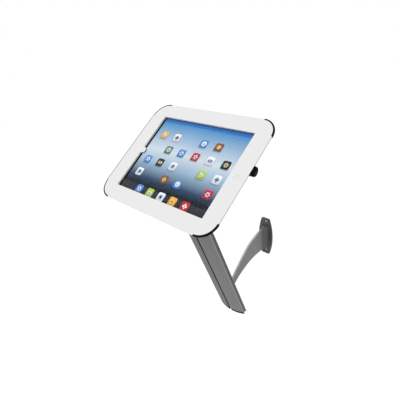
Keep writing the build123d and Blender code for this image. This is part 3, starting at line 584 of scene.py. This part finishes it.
def lock_nut(height, flats, bore, collar):
    """A hexagon nut on Z with a round collar, its seat on zero.

    The rings run up the bore, out over the collar and down the six sides. The
    sides' radius is a hexagon's, and at the chamfers a share of its corner
    where that is less.
    """
    turn = np.linspace(0, 2 * pi, NUT_COLUMNS, endpoint=False)
    half, corner = flats / 2, flats / 2 / cos(pi / 6)
    six = hexagon(turn, corner)
    body, chamfer = height - collar, CORNER_HEIGHT * flats
    rings = [
        (bore, 0.0), (bore, height), (COLLAR_TOP * half, height),
        (COLLAR_SIDE * half, height - COLLAR_EDGE * collar), (COLLAR_FOOT * half, body),
        (np.minimum(six, CORNER_TOP * corner), body), (six, body - chamfer), (six, chamfer),
        (np.minimum(six, CORNER_SEAT * corner), 0.0),
    ]
    points = ring_points(*rings_apart(rings, np.ones(NUT_COLUMNS)))
    return points, (ring_quads(len(rings), NUT_COLUMNS, closed=True)[:, ::-1],)


def rounded_loop(half_width, half_height, corner, steps=16):
    """A rounded rectangle as a closed loop: about each corner's middle, a quarter of a circle."""
    turn = np.linspace(0, pi / 2, steps)
    quarter = corner * np.stack((np.cos(turn), np.sin(turn)), -1)
    middle = np.array((half_width - corner, half_height - corner))
    loops = []
    for side, across, up in ((0, 1, 1), (1, -1, 1), (2, -1, -1), (3, 1, -1)):
        swing = side * pi / 2
        spun = quarter @ np.array(((cos(swing), sin(swing)), (-sin(swing), cos(swing))))
        loops.append(spun + middle * (across, up))
    return np.vstack(loops)


def petal(middle, half, power, lobes=0, swell=0.0, columns=48, rows=4, innermost=0.02):
    """A flat tile or mark of rings that shrink to its middle.

    The radius is a superellipse's, and swells by a cosine of its turn times
    the lobes.
    """
    turn = np.linspace(0, 2 * pi, columns, endpoint=False)
    square = (np.abs(np.cos(turn)) ** power + np.abs(np.sin(turn)) ** power) ** (-1 / power)
    outline = square * (1 + swell * np.cos(lobes * turn)) / (1 + abs(swell))
    share = np.linspace(1, innermost, rows)[:, None]
    across, up = (half * share * outline * wave for wave in (np.cos(turn), np.sin(turn)))
    level = np.full(across.shape, middle[2])
    grid = np.stack((middle[0] + across, middle[1] + up, level), -1).reshape(-1, 3)
    around = np.arange(columns)
    inner = (rows - 1) * columns
    fan = np.stack((np.full(columns, rows * columns), inner + around, inner + (around + 1) % columns), -1)
    return np.vstack((grid, middle)), (ring_quads(rows, columns), fan)


# Operators, one for each piece or group of like pieces

class KIOSK_OT_make_finishes(bpy.types.Operator):
    """Give every frame node its procedural finish"""

    bl_idname = "kiosk.make_finishes"
    bl_label = "Finishes"

    def execute(self, context):
        looks = context.scene.kiosk_finishes
        grain_group()
        edge_group()
        self.finish_enclosure(looks)
        self.finish_stand(looks)
        self.finish_hardware(looks)
        self.finish_tablet(looks)
        return {"FINISHED"}

    def finish_enclosure(self, looks):
        """The white cover and key, the black guards and lock housing, and the black tray."""
        coated = finish_of(
            "White powder coat", looks.cover, 0.42, scale=1400.0, tint=0.015, spread=0.10, depth_mm=0.010
        )
        # painted shade: the cover's white lips are greyed as if in shade
        shade_lips(coated)
        paint(coated, "front_cover")
        key_tone = tuple(KEY_SHADE * part for part in looks.cover)
        key = finish_of("White key plastic", key_tone, 0.30, scale=2600.0, tint=0.01, depth_mm=0.003)
        paint(key, "home_key")
        moulded = finish_of(
            "Black moulded plastic", looks.guards, 0.50, scale=3200.0, tint=0.25, depth_mm=0.014,
            specular=0.03,
        )
        paint(
            moulded, "corner_guard_upper_right", "corner_guard_upper_left", "corner_guard_lower_left",
            "corner_guard_lower_right", "edge_trim", "lock_housing",
        )
        sprayed = finish_of(
            "Black powder coat", looks.tray, 0.55, scale=1700.0, tint=0.30, depth_mm=0.022, specular=0.30
        )
        paint(sprayed, "back_tray", "cover_hooks")

    def finish_stand(self, looks):
        """The anodised post and the painted castings."""
        anodised = finish_of(
            "Anodised extrusion", looks.post, 0.60, scale=1500.0, stretch=POST_STRETCH,
            turn=(-POST_LEAN, 0.0, 0.0), tint=0.10, spread=0.16, depth_mm=0.006, patch_scale=60.0,
            specular=0.06,
        )
        # painted light and shade: a dark outline, dark slots and strip, and lighter sides
        shade_post(anodised)
        paint(anodised, "post")
        casting = finish_of(
            "Painted casting", looks.casting, 0.50, scale=620.0, tint=0.09, depth_mm=0.045, metallic=0.15
        )
        paint(casting, "post_head", "tilt_plate")
        # painted shade on the plate, its rim and the fin near it, and a painted highlight on the fin's top
        # edge
        paint(bracket_finish(casting, looks.edge_highlight), "wall_bracket")

    def finish_hardware(self, looks):
        """The steel fasteners, the lock's core, the washers and the foam."""
        steel = finish_of(
            "Zinc plated steel", looks.steel, 0.36, scale=2400.0, tint=0.14, spread=0.25, depth_mm=0.004,
            metallic=1.0,
        )
        paint(
            steel, "slot_nut", "pad_screws", "head_bolt", "tilt_bolt", "tilt_nut", "bolt_washers",
            "plate_screws", "clinch_nuts", "lock_screws", "cam_screw", "lock_cam", "lock_keeper",
        )
        blackened = finish_of(
            "Blackened lock metal", LOCK_METAL, 0.34, scale=2800.0, tint=0.20, depth_mm=0.002,
            metallic=0.4, specular=0.15,
        )
        paint(blackened, "lock_core")
        fibre = finish_of("Pressed fibre", FIBRE, 0.85, scale=2600.0, tint=0.5, depth_mm=0.05)
        paint(fibre, "friction_washers")
        foam = finish_of("Closed cell foam", FOAM, 0.95, scale=1500.0, tint=0.5, depth_mm=0.12)
        paint(foam, "foam_pads", "window_gasket")

    def finish_tablet(self, looks):
        """The tablet's shell, its inner pieces, its button and its glass."""
        blasted = finish_of(
            "Blasted aluminium", looks.shell, 0.44, scale=4200.0, tint=0.06, depth_mm=0.006, metallic=1.0
        )
        paint(blasted, "tablet_shell")
        pouch = finish_of("Foil pouch", POUCH, 0.45, scale=500.0, tint=0.25, depth_mm=0.05)
        paint(pouch, "tablet_battery")
        board = finish_of("Solder mask", SOLDER_MASK, 0.35, scale=900.0, tint=0.35, depth_mm=0.03)
        paint(board, "tablet_board")
        plastic = finish_of("Black tablet plastic", TABLET_BLACK, 0.25, scale=2600.0, depth_mm=0.002)
        paint(plastic, "tablet_home_button", "tablet_home_switch")
        paint(clear_glass(), "tablet_glass")


def shade_lips(material):
    """Paint shade on the lips that fold back from the cover's outer edges: the same white, greyed as if in
    shade.

    A point is on a lip if it lies behind the front sheet's face and beyond a
    line a little inside the outline, on either of the face's two directions.
    """
    tree, shader, painted, place = opened(material)
    middle, half = (COVER_HIGH + COVER_LOW) / 2, (COVER_HIGH - COVER_LOW) / 2 - LIP_REACH
    within = []
    for axis, centre, size in zip((ACROSS, FACE_UP), middle, half):
        away = maths(tree, "ABSOLUTE", less(tree, along(tree, place, axis), float(centre)))
        within.append(less(tree, float(size), away))
    inside = maths(tree, "MINIMUM", *within)
    behind = less(tree, along(tree, place, FACE_OUT), float(COVER_HIGH[2] - LIP_START))
    tone = edge_shaded(tree, painted, maths(tree, "MAXIMUM", behind, inside), LIP_BLEND, LIP_SHADE)
    tree.links.new(tone, shader.inputs["Base Color"])


def shade_post(material):
    """Paint light and shade on the post: painted shade on its outline, slots and the strip left of them,
    and painted light on its sides.

    Two distances tell the outline: from the corner of the sides with the
    bowed back, and on the bowed front from the lower end. The sides, the
    strip and the slots are told by their place across the post.
    """
    tree, shader, painted, place = opened(material)
    low, high = (tuple(float(part) for part in reach) for reach in reach_of("post", POST_AXES))
    across = split(tree, place)["X"]
    rear, height = along(tree, place, POST_REAR), along(tree, place, POST_UP)
    beside = maths(tree, "ABSOLUTE", across)
    from_side = less(tree, high[0], beside)
    corner = (low[1] + high[1]) / 2 + POST_SIDE_HALF
    from_corner = maths(tree, "ABSOLUTE", less(tree, rear, corner))
    from_end = less(tree, height, low[2] + END_LINE)
    from_front = less(tree, rear, corner - 2 * POST_SIDE_HALF)
    from_rim = maths(tree, "MAXIMUM", from_end, from_front)
    from_strip = maths(tree, "ADD", across, SLOT_HALF)
    from_slot = less(tree, beside, SLOT_HALF)
    # painted light on the sides, and painted shade on the outline, the slots and the strip left of them
    shades = (
        (from_side, SIDE_BLEND, SIDE_LIGHT_SHARE), (from_corner, EDGE_WIDTH, EDGE_SHADE),
        (from_rim, END_BLEND, END_SHADE), (from_strip, SLOT_BLEND, STRIP_SHADE),
        (from_slot, SLOT_BLEND, SLOT_SHADE),
    )
    for distance, width, shade in shades:
        painted = edge_shaded(tree, painted, distance, width, shade)
    tree.links.new(painted, shader.inputs["Base Color"])


def bracket_finish(casting, edge_highlight):
    """The casting's paint on the wall bracket, with painted shade and a painted highlight.

    Painted shade darkens the plate and the fin towards it, told by the distance from
    the wall, and the plate's rim, told by a normal that doesn't face away from the wall.
    A painted highlight lies on the fin's top edge, told by its place within the fin's
    thickness and by a normal that points up and out, and fades towards the wall.
    """
    material = casting.copy()
    material.name = "Painted wall bracket"
    tree, shader, painted, place = opened(material)
    part = split(tree, place)
    normal = add_node(tree, "ShaderNodeNewGeometry").outputs["True Normal"]
    # painted highlight mask: the fin's top edge, weaker towards the wall
    upward = maths(tree, "GREATER_THAN", along(tree, normal, FACE_OUT), EDGE_FACING)
    inside = maths(tree, "LESS_THAN", maths(tree, "ABSOLUTE", part["X"]), FIN_HALF)
    free = maths(tree, "LESS_THAN", part["Y"], -PLATE_FRONT)
    away = maths(tree, "MULTIPLY", part["Y"], -1.0)
    edge = mapped(tree, away, HIGHLIGHT_FADE_START, HIGHLIGHT_FADE_END, low=HIGHLIGHT_FADE_SHARE)
    for mask in (upward, inside, free):
        edge = maths(tree, "MULTIPLY", edge, mask)
    both = add_node(
        tree, "ShaderNodeMix", {"Factor": edge, "A": painted, "B": (*edge_highlight, 1.0)}, data_type="RGBA"
    )
    # painted shade on the plate and the fin near it, then on the plate's rim
    from_plate = less(tree, -PLATE_FRONT, part["Y"])
    plated = edge_shaded(tree, both.outputs["Result"], from_plate, PLATE_BLEND, PLATE_SHADE)
    faced = less(tree, maths(tree, "ABSOLUTE", split(tree, normal)["Y"]), RIM_FACING)
    past = maths(tree, "MAXIMUM", faced, less(tree, from_plate, RIM_START))
    rimmed = edge_shaded(tree, plated, past, RIM_BLEND, RIM_SHADE)
    tree.links.new(rimmed, shader.inputs["Base Color"])
    return material


def clear_glass():
    """Thin clear front glass with a weak mirror, and faint unevenness in its roughness."""
    material, tree = new_material("Clear front glass")
    smear = noise(tree, object_place(tree), SMEAR_SCALE, detail=3.0)
    add_shader(tree, {
        "Base Color": GLASS_TINT, "Roughness": maths(tree, "MULTIPLY", smear, SMEAR_ROUGHNESS),
        "Metallic": 0.0, "Transmission Weight": 1.0, "IOR": GLASS_BENDING,
    })
    return material


def screen_stops(look):
    """The colours of the screen's background at the stops, from its lower edge up."""
    tones = (look.bar, look.blue, look.sky, look.dusk, look.deep)
    bar, blue, sky, dusk, deep = (np.array(tone) for tone in tones)
    dock = deep + DOCK_LIFT
    return np.array((
        dock, DOCK_TOP * dock, DOCK_SHADE * dock, deep, dusk, HAZE * (sky + blue), sky,
        VEIL * sky + (1 - VEIL) * blue, blue, bar, BAR_TOP * bar,
    ))


def add_glow(tree, painted, glow):
    """End a material's tree with a black shader that gives off a colour."""
    add_shader(tree, {
        "Base Color": PANEL_BLACK, "Roughness": 0.3, "Specular IOR Level": 0.0,
        "Emission Color": painted, "Emission Strength": glow,
    })


def lit_panel(look, low, high):
    """The lit picture: its colour goes by the height up the screen, through a ramp of the stops."""
    stops = screen_stops(look)
    material, tree = new_material("Lit screen")
    place = object_place(tree)
    start = float(FACE_PLACE @ FACE_UP)
    share = mapped(tree, along(tree, place, FACE_UP), start + low, start + high)
    ramp = add_node(tree, "ShaderNodeValToRGB", {"Fac": share})
    elements = ramp.color_ramp.elements
    while len(elements) < len(stops):
        elements.new(0.5)
    for element, height, stop in zip(elements, SCREEN_STOPS, stops):
        element.position = height
        element.color = (*stop, 1.0)
    cloud = noise(tree, place, CLOUD_SCALE, detail=3.0)
    drift = maths(tree, "ADD", CLOUD_LOW, maths(tree, "MULTIPLY", cloud, CLOUD_SPAN))
    add_glow(tree, scaled(tree, ramp.outputs["Color"], drift), look.glow)
    return material


def lit_marks(look):
    """The lit finish of the tiles, whose colour comes from an attribute of their own points."""
    material, tree = new_material("Lit marks")
    tone = add_node(tree, "ShaderNodeAttribute", attribute_name=TONE_NAME)
    add_glow(tree, tone.outputs["Color"], look.glow)
    return material


def tile_layout(look, middle):
    """The centre and the colour of each tile, on a grid about the screen's middle, with a dock below."""
    rows = [
        (FIRST_ROW + row * look.row_pitch, look.column_pitch, tones)
        for row, tones in enumerate(TILE_ROWS)
    ]
    rows.append((DOCK_ROW, DOCK_PITCH * look.column_pitch, DOCK_TILES))
    tiles = []
    for up, pitch, tones in rows:
        for column, tone in enumerate(tones):
            if tone is not None:
                across = (column - (len(tones) - 1) / 2) * pitch
                tiles.append(((middle[0] + across, middle[1] + up), tone))
    return tiles


def toned_piece(name, parts, tones, material):
    """One piece of several flat marks, with the colour of each point in an attribute."""
    points, faces = joined(parts)
    piece = mesh_piece(name, on_face(points), faces, material, "enclosure", "tablet_display")
    attribute = piece.data.color_attributes.new(TONE_NAME, "FLOAT_COLOR", "POINT")
    colours = np.column_stack((np.vstack(tones), np.ones(len(points))))
    attribute.data.foreach_set("color", colours.ravel())


def glossed(part, tone, gain):
    """A mark's colour at its points: it grows by a share of itself from the mark's foot to its head."""
    up = part[0][:, 1]
    share = (up - up.min()) / np.ptp(up) - 0.5
    return np.clip(np.asarray(tone)[None, :] * (1 + gain * share[:, None]), 0.0, 1.0)


def shadow_tones(look, part, low, high):
    """A soft shadow's colour: the background's own at the rim, falling to a share of it inside.

    The background's colour is read from the stops at each point's height. The
    depth inside is the distance from the rim as a share of the way to the
    middle, doubled and held at one.
    """
    points = part[0]
    height = (points[:, 1] - low) / (high - low)
    ground = np.stack([np.interp(height, SCREEN_STOPS, stop) for stop in screen_stops(look).T], -1)
    reach = np.abs(points[:, :2] - points[-1, :2]).max(1)
    inside = np.clip(2 * (1 - reach / reach.max()), 0, 1)
    return ground * (1 - SHADOW_DEPTH * inside[:, None])


class KIOSK_OT_make_screen(bpy.types.Operator):
    """Light the tablet's screen, with plain tiles, their marks and the black border under the glass"""

    bl_idname = "kiosk.make_screen"
    bl_label = "Screen"

    def execute(self, context):
        look = context.scene.kiosk_screen
        low, high = face_reach("tablet_display")
        glass_low, glass_high = face_reach("tablet_glass")
        gap = glass_low[2] - high[2]
        shadow_level, tile_level, *mark_levels = (high[2] + share * gap for share in LEVEL_SHARES)
        paint(lit_panel(look, low[1], high[1]), "tablet_display")
        layout = tile_layout(look, (low + high) / 2)
        lit = lit_marks(look)
        self.make_shadows(look, layout, lit, shadow_level, low[1], high[1])
        self.make_tiles(look, layout, lit, tile_level)
        self.make_marks(look, layout, lit, *mark_levels)
        self.make_border(low, high, glass_low, glass_high, gap)
        return {"FINISHED"}

    def make_shadows(self, look, layout, lit, level, low, high):
        """A soft shadow a little below each tile."""
        half = look.tile / 2
        shadows = [
            petal((across, up - SHADOW_DROP * half, level), SHADOW_SIZE * half, SHADOW_POWER)
            for (across, up), _ in layout
        ]
        tones = [shadow_tones(look, part, low, high) for part in shadows]
        toned_piece("screen_shadows", shadows, tones, lit)

    def make_tiles(self, look, layout, lit, level):
        """The tiles, square with soft corners."""
        tiles = [petal((*place, level), look.tile / 2, TILE_POWER) for place, _ in layout]
        tones = [glossed(part, tone, TILE_GLOSS) for part, (_, tone) in zip(tiles, layout)]
        toned_piece("screen_tiles", tiles, tones, lit)

    def make_marks(self, look, layout, lit, mark_level, dot_level):
        """A lobed mark on each tile, dark on a pale one, with a dot in its middle."""
        half = look.tile / 2
        marks, tones = [], []
        for number, (place, tone) in enumerate(layout):
            lobes = MARK_LOBES[number % len(MARK_LOBES)]
            swell = MARK_SWELL if lobes else 0.0
            mark_tones = MARK_ON_PALE if sum(tone) > PALE_SUM else MARK_TONES
            marks.append(petal((*place, mark_level), MARK_SIZE * half, ROUND_POWER, lobes, swell))
            tones.append(glossed(marks[-1], mark_tones[number % len(mark_tones)], TILE_GLOSS))
            marks.append(petal((*place, dot_level), DOT_SIZE * half, ROUND_POWER))
            tones.append(glossed(marks[-1], DOT_TONES[number % len(DOT_TONES)], 0.0))
        toned_piece("screen_marks", marks, tones, lit)

    def make_border(self, low, high, glass_low, glass_high, gap):
        """A thin closed frame of four rounded loops: inner and outer, at the front and at the back.

        It reaches almost to the glass's edges, and on the right to just short
        of the tablet's button.
        """
        button_low, _ = face_reach("tablet_home_button")
        outer_low = glass_low[:2] + BORDER_ROOM
        outer_high = np.array((button_low[0], glass_high[1])) - BORDER_ROOM
        inner_half, outer_half = (high - low)[:2] / 2 - BORDER_LAP, (outer_high - outer_low) / 2
        inner = rounded_loop(*inner_half, SCREEN_CORNER) + (high + low)[:2] / 2
        outer = rounded_loop(*outer_half, GLASS_CORNER) + (outer_high + outer_low) / 2
        front, rear = (glass_low[2] - share * gap for share in BORDER_SHARES)
        loops = ((inner, front), (outer, front), (outer, rear), (inner, rear))
        rings = [np.column_stack((loop, np.full(len(loop), level))) for loop, level in loops]
        faces = ring_quads(len(rings), len(inner), closed=True)[:, ::-1]
        black = finish_of(
            "Black glass print", PRINT_BLACK, 0.40, scale=1800.0, depth_mm=0.001, specular=0.05
        )
        mesh_piece(
            "screen_border", on_face(np.vstack(rings)), (faces,), black, "enclosure", "tablet_display"
        )


class KIOSK_OT_make_tilt_hardware(bpy.types.Operator):
    """Turn the tilt bolt and its nut with sockets, knurls and threads"""

    bl_idname = "kiosk.make_tilt_hardware"
    bl_label = "Tilt hardware"

    def execute(self, context):
        steel = bpy.data.materials["Zinc plated steel"]
        self.make_bolt(steel)
        self.make_nut(steel)
        return {"FINISHED"}

    def make_bolt(self, steel):
        """The bolt through the fork, its head on the right."""
        low, high = reach_of("tilt_bolt", POST_AXES)
        seat = high[0] - TILT_BOLT["head_height"]
        bolt = cap_screw(seat - low[0], **TILT_BOLT)
        surface = placed(bolt, (seat, *TILT_PLACE[1:]), (-POST_REAR, POST_UP, ACROSS))
        piece = mesh_piece("tilt_bolt_turned", *surface, steel, "stand", "steel")
        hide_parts("tilt_bolt")

    def make_nut(self, steel):
        """The nut on the bolt's left end."""
        low, high = reach_of("tilt_nut", POST_AXES)
        nut = lock_nut(high[0] - low[0], **TILT_NUT)
        surface = placed(nut, (high[0], *TILT_PLACE[1:]), (POST_UP, -POST_REAR, -ACROSS))
        piece = mesh_piece("tilt_nut_turned", *surface, steel, "stand", "steel")
        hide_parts("tilt_nut")


class KIOSK_OT_make_screws(bpy.types.Operator):
    """Turn the pad's and the tilt plate's screws"""

    bl_idname = "kiosk.make_screws"
    bl_label = "Screws"

    def execute(self, context):
        steel = bpy.data.materials["Zinc plated steel"]
        self.make_pad_screws(steel)
        self.make_plate_screws(steel)
        return {"FINISHED"}

    def make_pad_screws(self, steel):
        """Two screws through the bracket's pad, their heads on the post's rear side."""
        low, high = reach_of("pad_screws", POST_AXES)
        head, seat = PAD_SCREW["head"], high[1] - PAD_SCREW["head_height"]
        screw = cap_screw(seat - low[1], **PAD_SCREW)
        parts = [
            placed(screw, np.array((0.0, seat, height)) @ POST_AXES, (ACROSS, -POST_UP, POST_REAR))
            for height in (low[2] + head, high[2] - head)
        ]
        piece = mesh_piece("pad_screws_turned", *joined(parts), steel, "stand", "steel")
        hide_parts("pad_screws")

    def make_plate_screws(self, steel):
        """Four screws in the tilt plate's corners, their heads away from the tablet."""
        low, high = face_reach("plate_screws")
        head, seat = PLATE_SCREW["head"], low[2] + PLATE_SCREW["head_height"]
        screw = cap_screw(high[2] - seat, **PLATE_SCREW)
        parts = [
            placed(screw, on_face((across, up, seat)), (ACROSS, -FACE_UP, -FACE_OUT))
            for across in (low[0] + head, high[0] - head)
            for up in (low[1] + head, high[1] - head)
        ]
        piece = mesh_piece("plate_screws_turned", *joined(parts), steel, "enclosure", "steel")
        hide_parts("plate_screws")


class KIOSK_OT_make_studio(bpy.types.Operator):
    """Lay the floor, light the stand evenly and place the camera at the photographed angle"""

    bl_idname = "kiosk.make_studio"
    bl_label = "Studio"

    def execute(self, context):
        studio = context.scene.kiosk_studio
        context.scene.view_settings.view_transform = "Standard"
        self.make_floor(studio)
        self.make_world(context, studio)
        self.make_lamp(studio)
        self.make_camera(context, studio)
        return {"FINISHED"}

    def make_floor(self, studio):
        """A wide flat grid at one height, pale, which keeps the stand's shadow."""
        side = np.linspace(-FLOOR_HALF, FLOOR_HALF, FLOOR_CELLS + 1)
        across, away = np.meshgrid(side, side)
        level = np.full(across.shape, -studio.floor_drop)
        points = np.stack((across, away, level), -1).reshape(-1, 3)
        row, column = np.meshgrid(np.arange(FLOOR_CELLS), np.arange(FLOOR_CELLS), indexing="ij")
        near = row * len(side) + column
        far = near + len(side)
        faces = np.stack((near, near + 1, far + 1, far), -1).reshape(-1, 4)
        mesh = bpy.data.meshes.new("studio_floor")
        mesh.from_pydata(points.tolist(), [], faces.tolist())
        floor = new_object("studio_floor", mesh)
        material, tree = new_material("Pale floor")
        cloud = noise(tree, object_place(tree), FLOOR_PATCHES)
        add_shader(tree, {
            "Base Color": FLOOR_WHITE, "Specular IOR Level": 0.0, "Emission Color": WHITE,
            "Roughness": maths(tree, "ADD", FLOOR_ROUGH, maths(tree, "MULTIPLY", cloud, FLOOR_SPREAD)),
            "Emission Strength": maths(tree, "MULTIPLY", seen_directly(tree), FLOOR_GLOW),
        })
        mesh.materials.append(material)

    def make_world(self, context, studio):
        """An even white light, shown as plain white to the camera and in reflections."""
        world = bpy.data.worlds.new("Studio world")
        world.use_nodes = True
        tree = world.node_tree
        tree.nodes.clear()
        seen = seen_directly(tree)
        rest = maths(tree, "MULTIPLY", less(tree, 1.0, seen), studio.sky_strength)
        strength = maths(tree, "ADD", seen, rest)
        ground = add_node(tree, "ShaderNodeBackground", {"Color": WHITE, "Strength": strength})
        add_node(tree, "ShaderNodeOutputWorld", {"Surface": ground.outputs[0]})
        context.scene.world = world

    def make_lamp(self, studio):
        """One soft key lamp from above, a little to the left of the user."""
        lamp = bpy.data.lights.new("Key lamp", "SUN")
        lamp.energy = studio.key_strength
        lamp.angle = LAMP_SOFTNESS
        new_object("Key lamp", lamp).rotation_euler = LAMP_TURN

    def make_camera(self, context, studio):
        """The camera on three directions: right, up, and back from the view."""
        lens = bpy.data.cameras.new("Photo camera")
        lens.lens = studio.lens
        lens.sensor_width = SENSOR_WIDTH_MM
        lens.clip_start, lens.clip_end = CLIP_START, CLIP_END
        turn = np.column_stack((CAMERA_RIGHT, CAMERA_UP, np.cross(CAMERA_RIGHT, CAMERA_UP)))
        placed_at = Matrix(turn.tolist()).to_4x4()
        placed_at.translation = studio.camera_place
        camera = new_object("Photo camera", lens)
        camera.matrix_world = placed_at
        context.scene.camera = camera


def seen_directly(tree):
    """One for what the camera sees, also in a reflection or through glass, and zero for diffuse light."""
    path = add_node(tree, "ShaderNodeLightPath")
    seen = maths(tree, "MAXIMUM", path.outputs["Is Camera Ray"], path.outputs["Is Glossy Ray"])
    return maths(tree, "MAXIMUM", seen, path.outputs["Is Transmission Ray"])


class KIOSK_PT_panel(bpy.types.Panel):
    """The stand's settings and the operators that make it"""

    bl_idname = "KIOSK_PT_panel"
    bl_label = "Kiosk stand"
    bl_space_type = "VIEW_3D"
    bl_region_type = "UI"
    bl_category = "Kiosk"

    def draw(self, context):
        for name, group in SETTINGS.items():
            for setting in group.__annotations__:
                self.layout.prop(getattr(context.scene, name), setting)
        for operator in OPERATORS:
            self.layout.operator(operator.bl_idname)


SETTINGS = {"kiosk_finishes": KioskFinishes, "kiosk_screen": KioskScreen, "kiosk_studio": KioskStudio}
OPERATORS = (
    KIOSK_OT_make_studio, KIOSK_OT_make_finishes, KIOSK_OT_make_screen, KIOSK_OT_make_tilt_hardware,
    KIOSK_OT_make_screws,
)


def register():
    """Register the classes and put the settings on the scene."""
    for entry in (*SETTINGS.values(), *OPERATORS, KIOSK_PT_panel):
        bpy.utils.register_class(entry)
    for name, group in SETTINGS.items():
        setattr(bpy.types.Scene, name, PointerProperty(type=group))


def unregister():
    """Take the settings off the scene and unregister the classes."""
    for name in SETTINGS:
        delattr(bpy.types.Scene, name)
    for entry in (KIOSK_PT_panel, *OPERATORS, *SETTINGS.values()):
        bpy.utils.unregister_class(entry)


def main():
    """Make every piece in order."""
    register()
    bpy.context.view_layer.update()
    bpy.ops.kiosk.make_studio()
    bpy.ops.kiosk.make_finishes()
    bpy.ops.kiosk.make_screen()
    bpy.ops.kiosk.make_tilt_hardware()
    bpy.ops.kiosk.make_screws()
    bpy.context.view_layer.update()


if __name__ == "__main__":
    main()
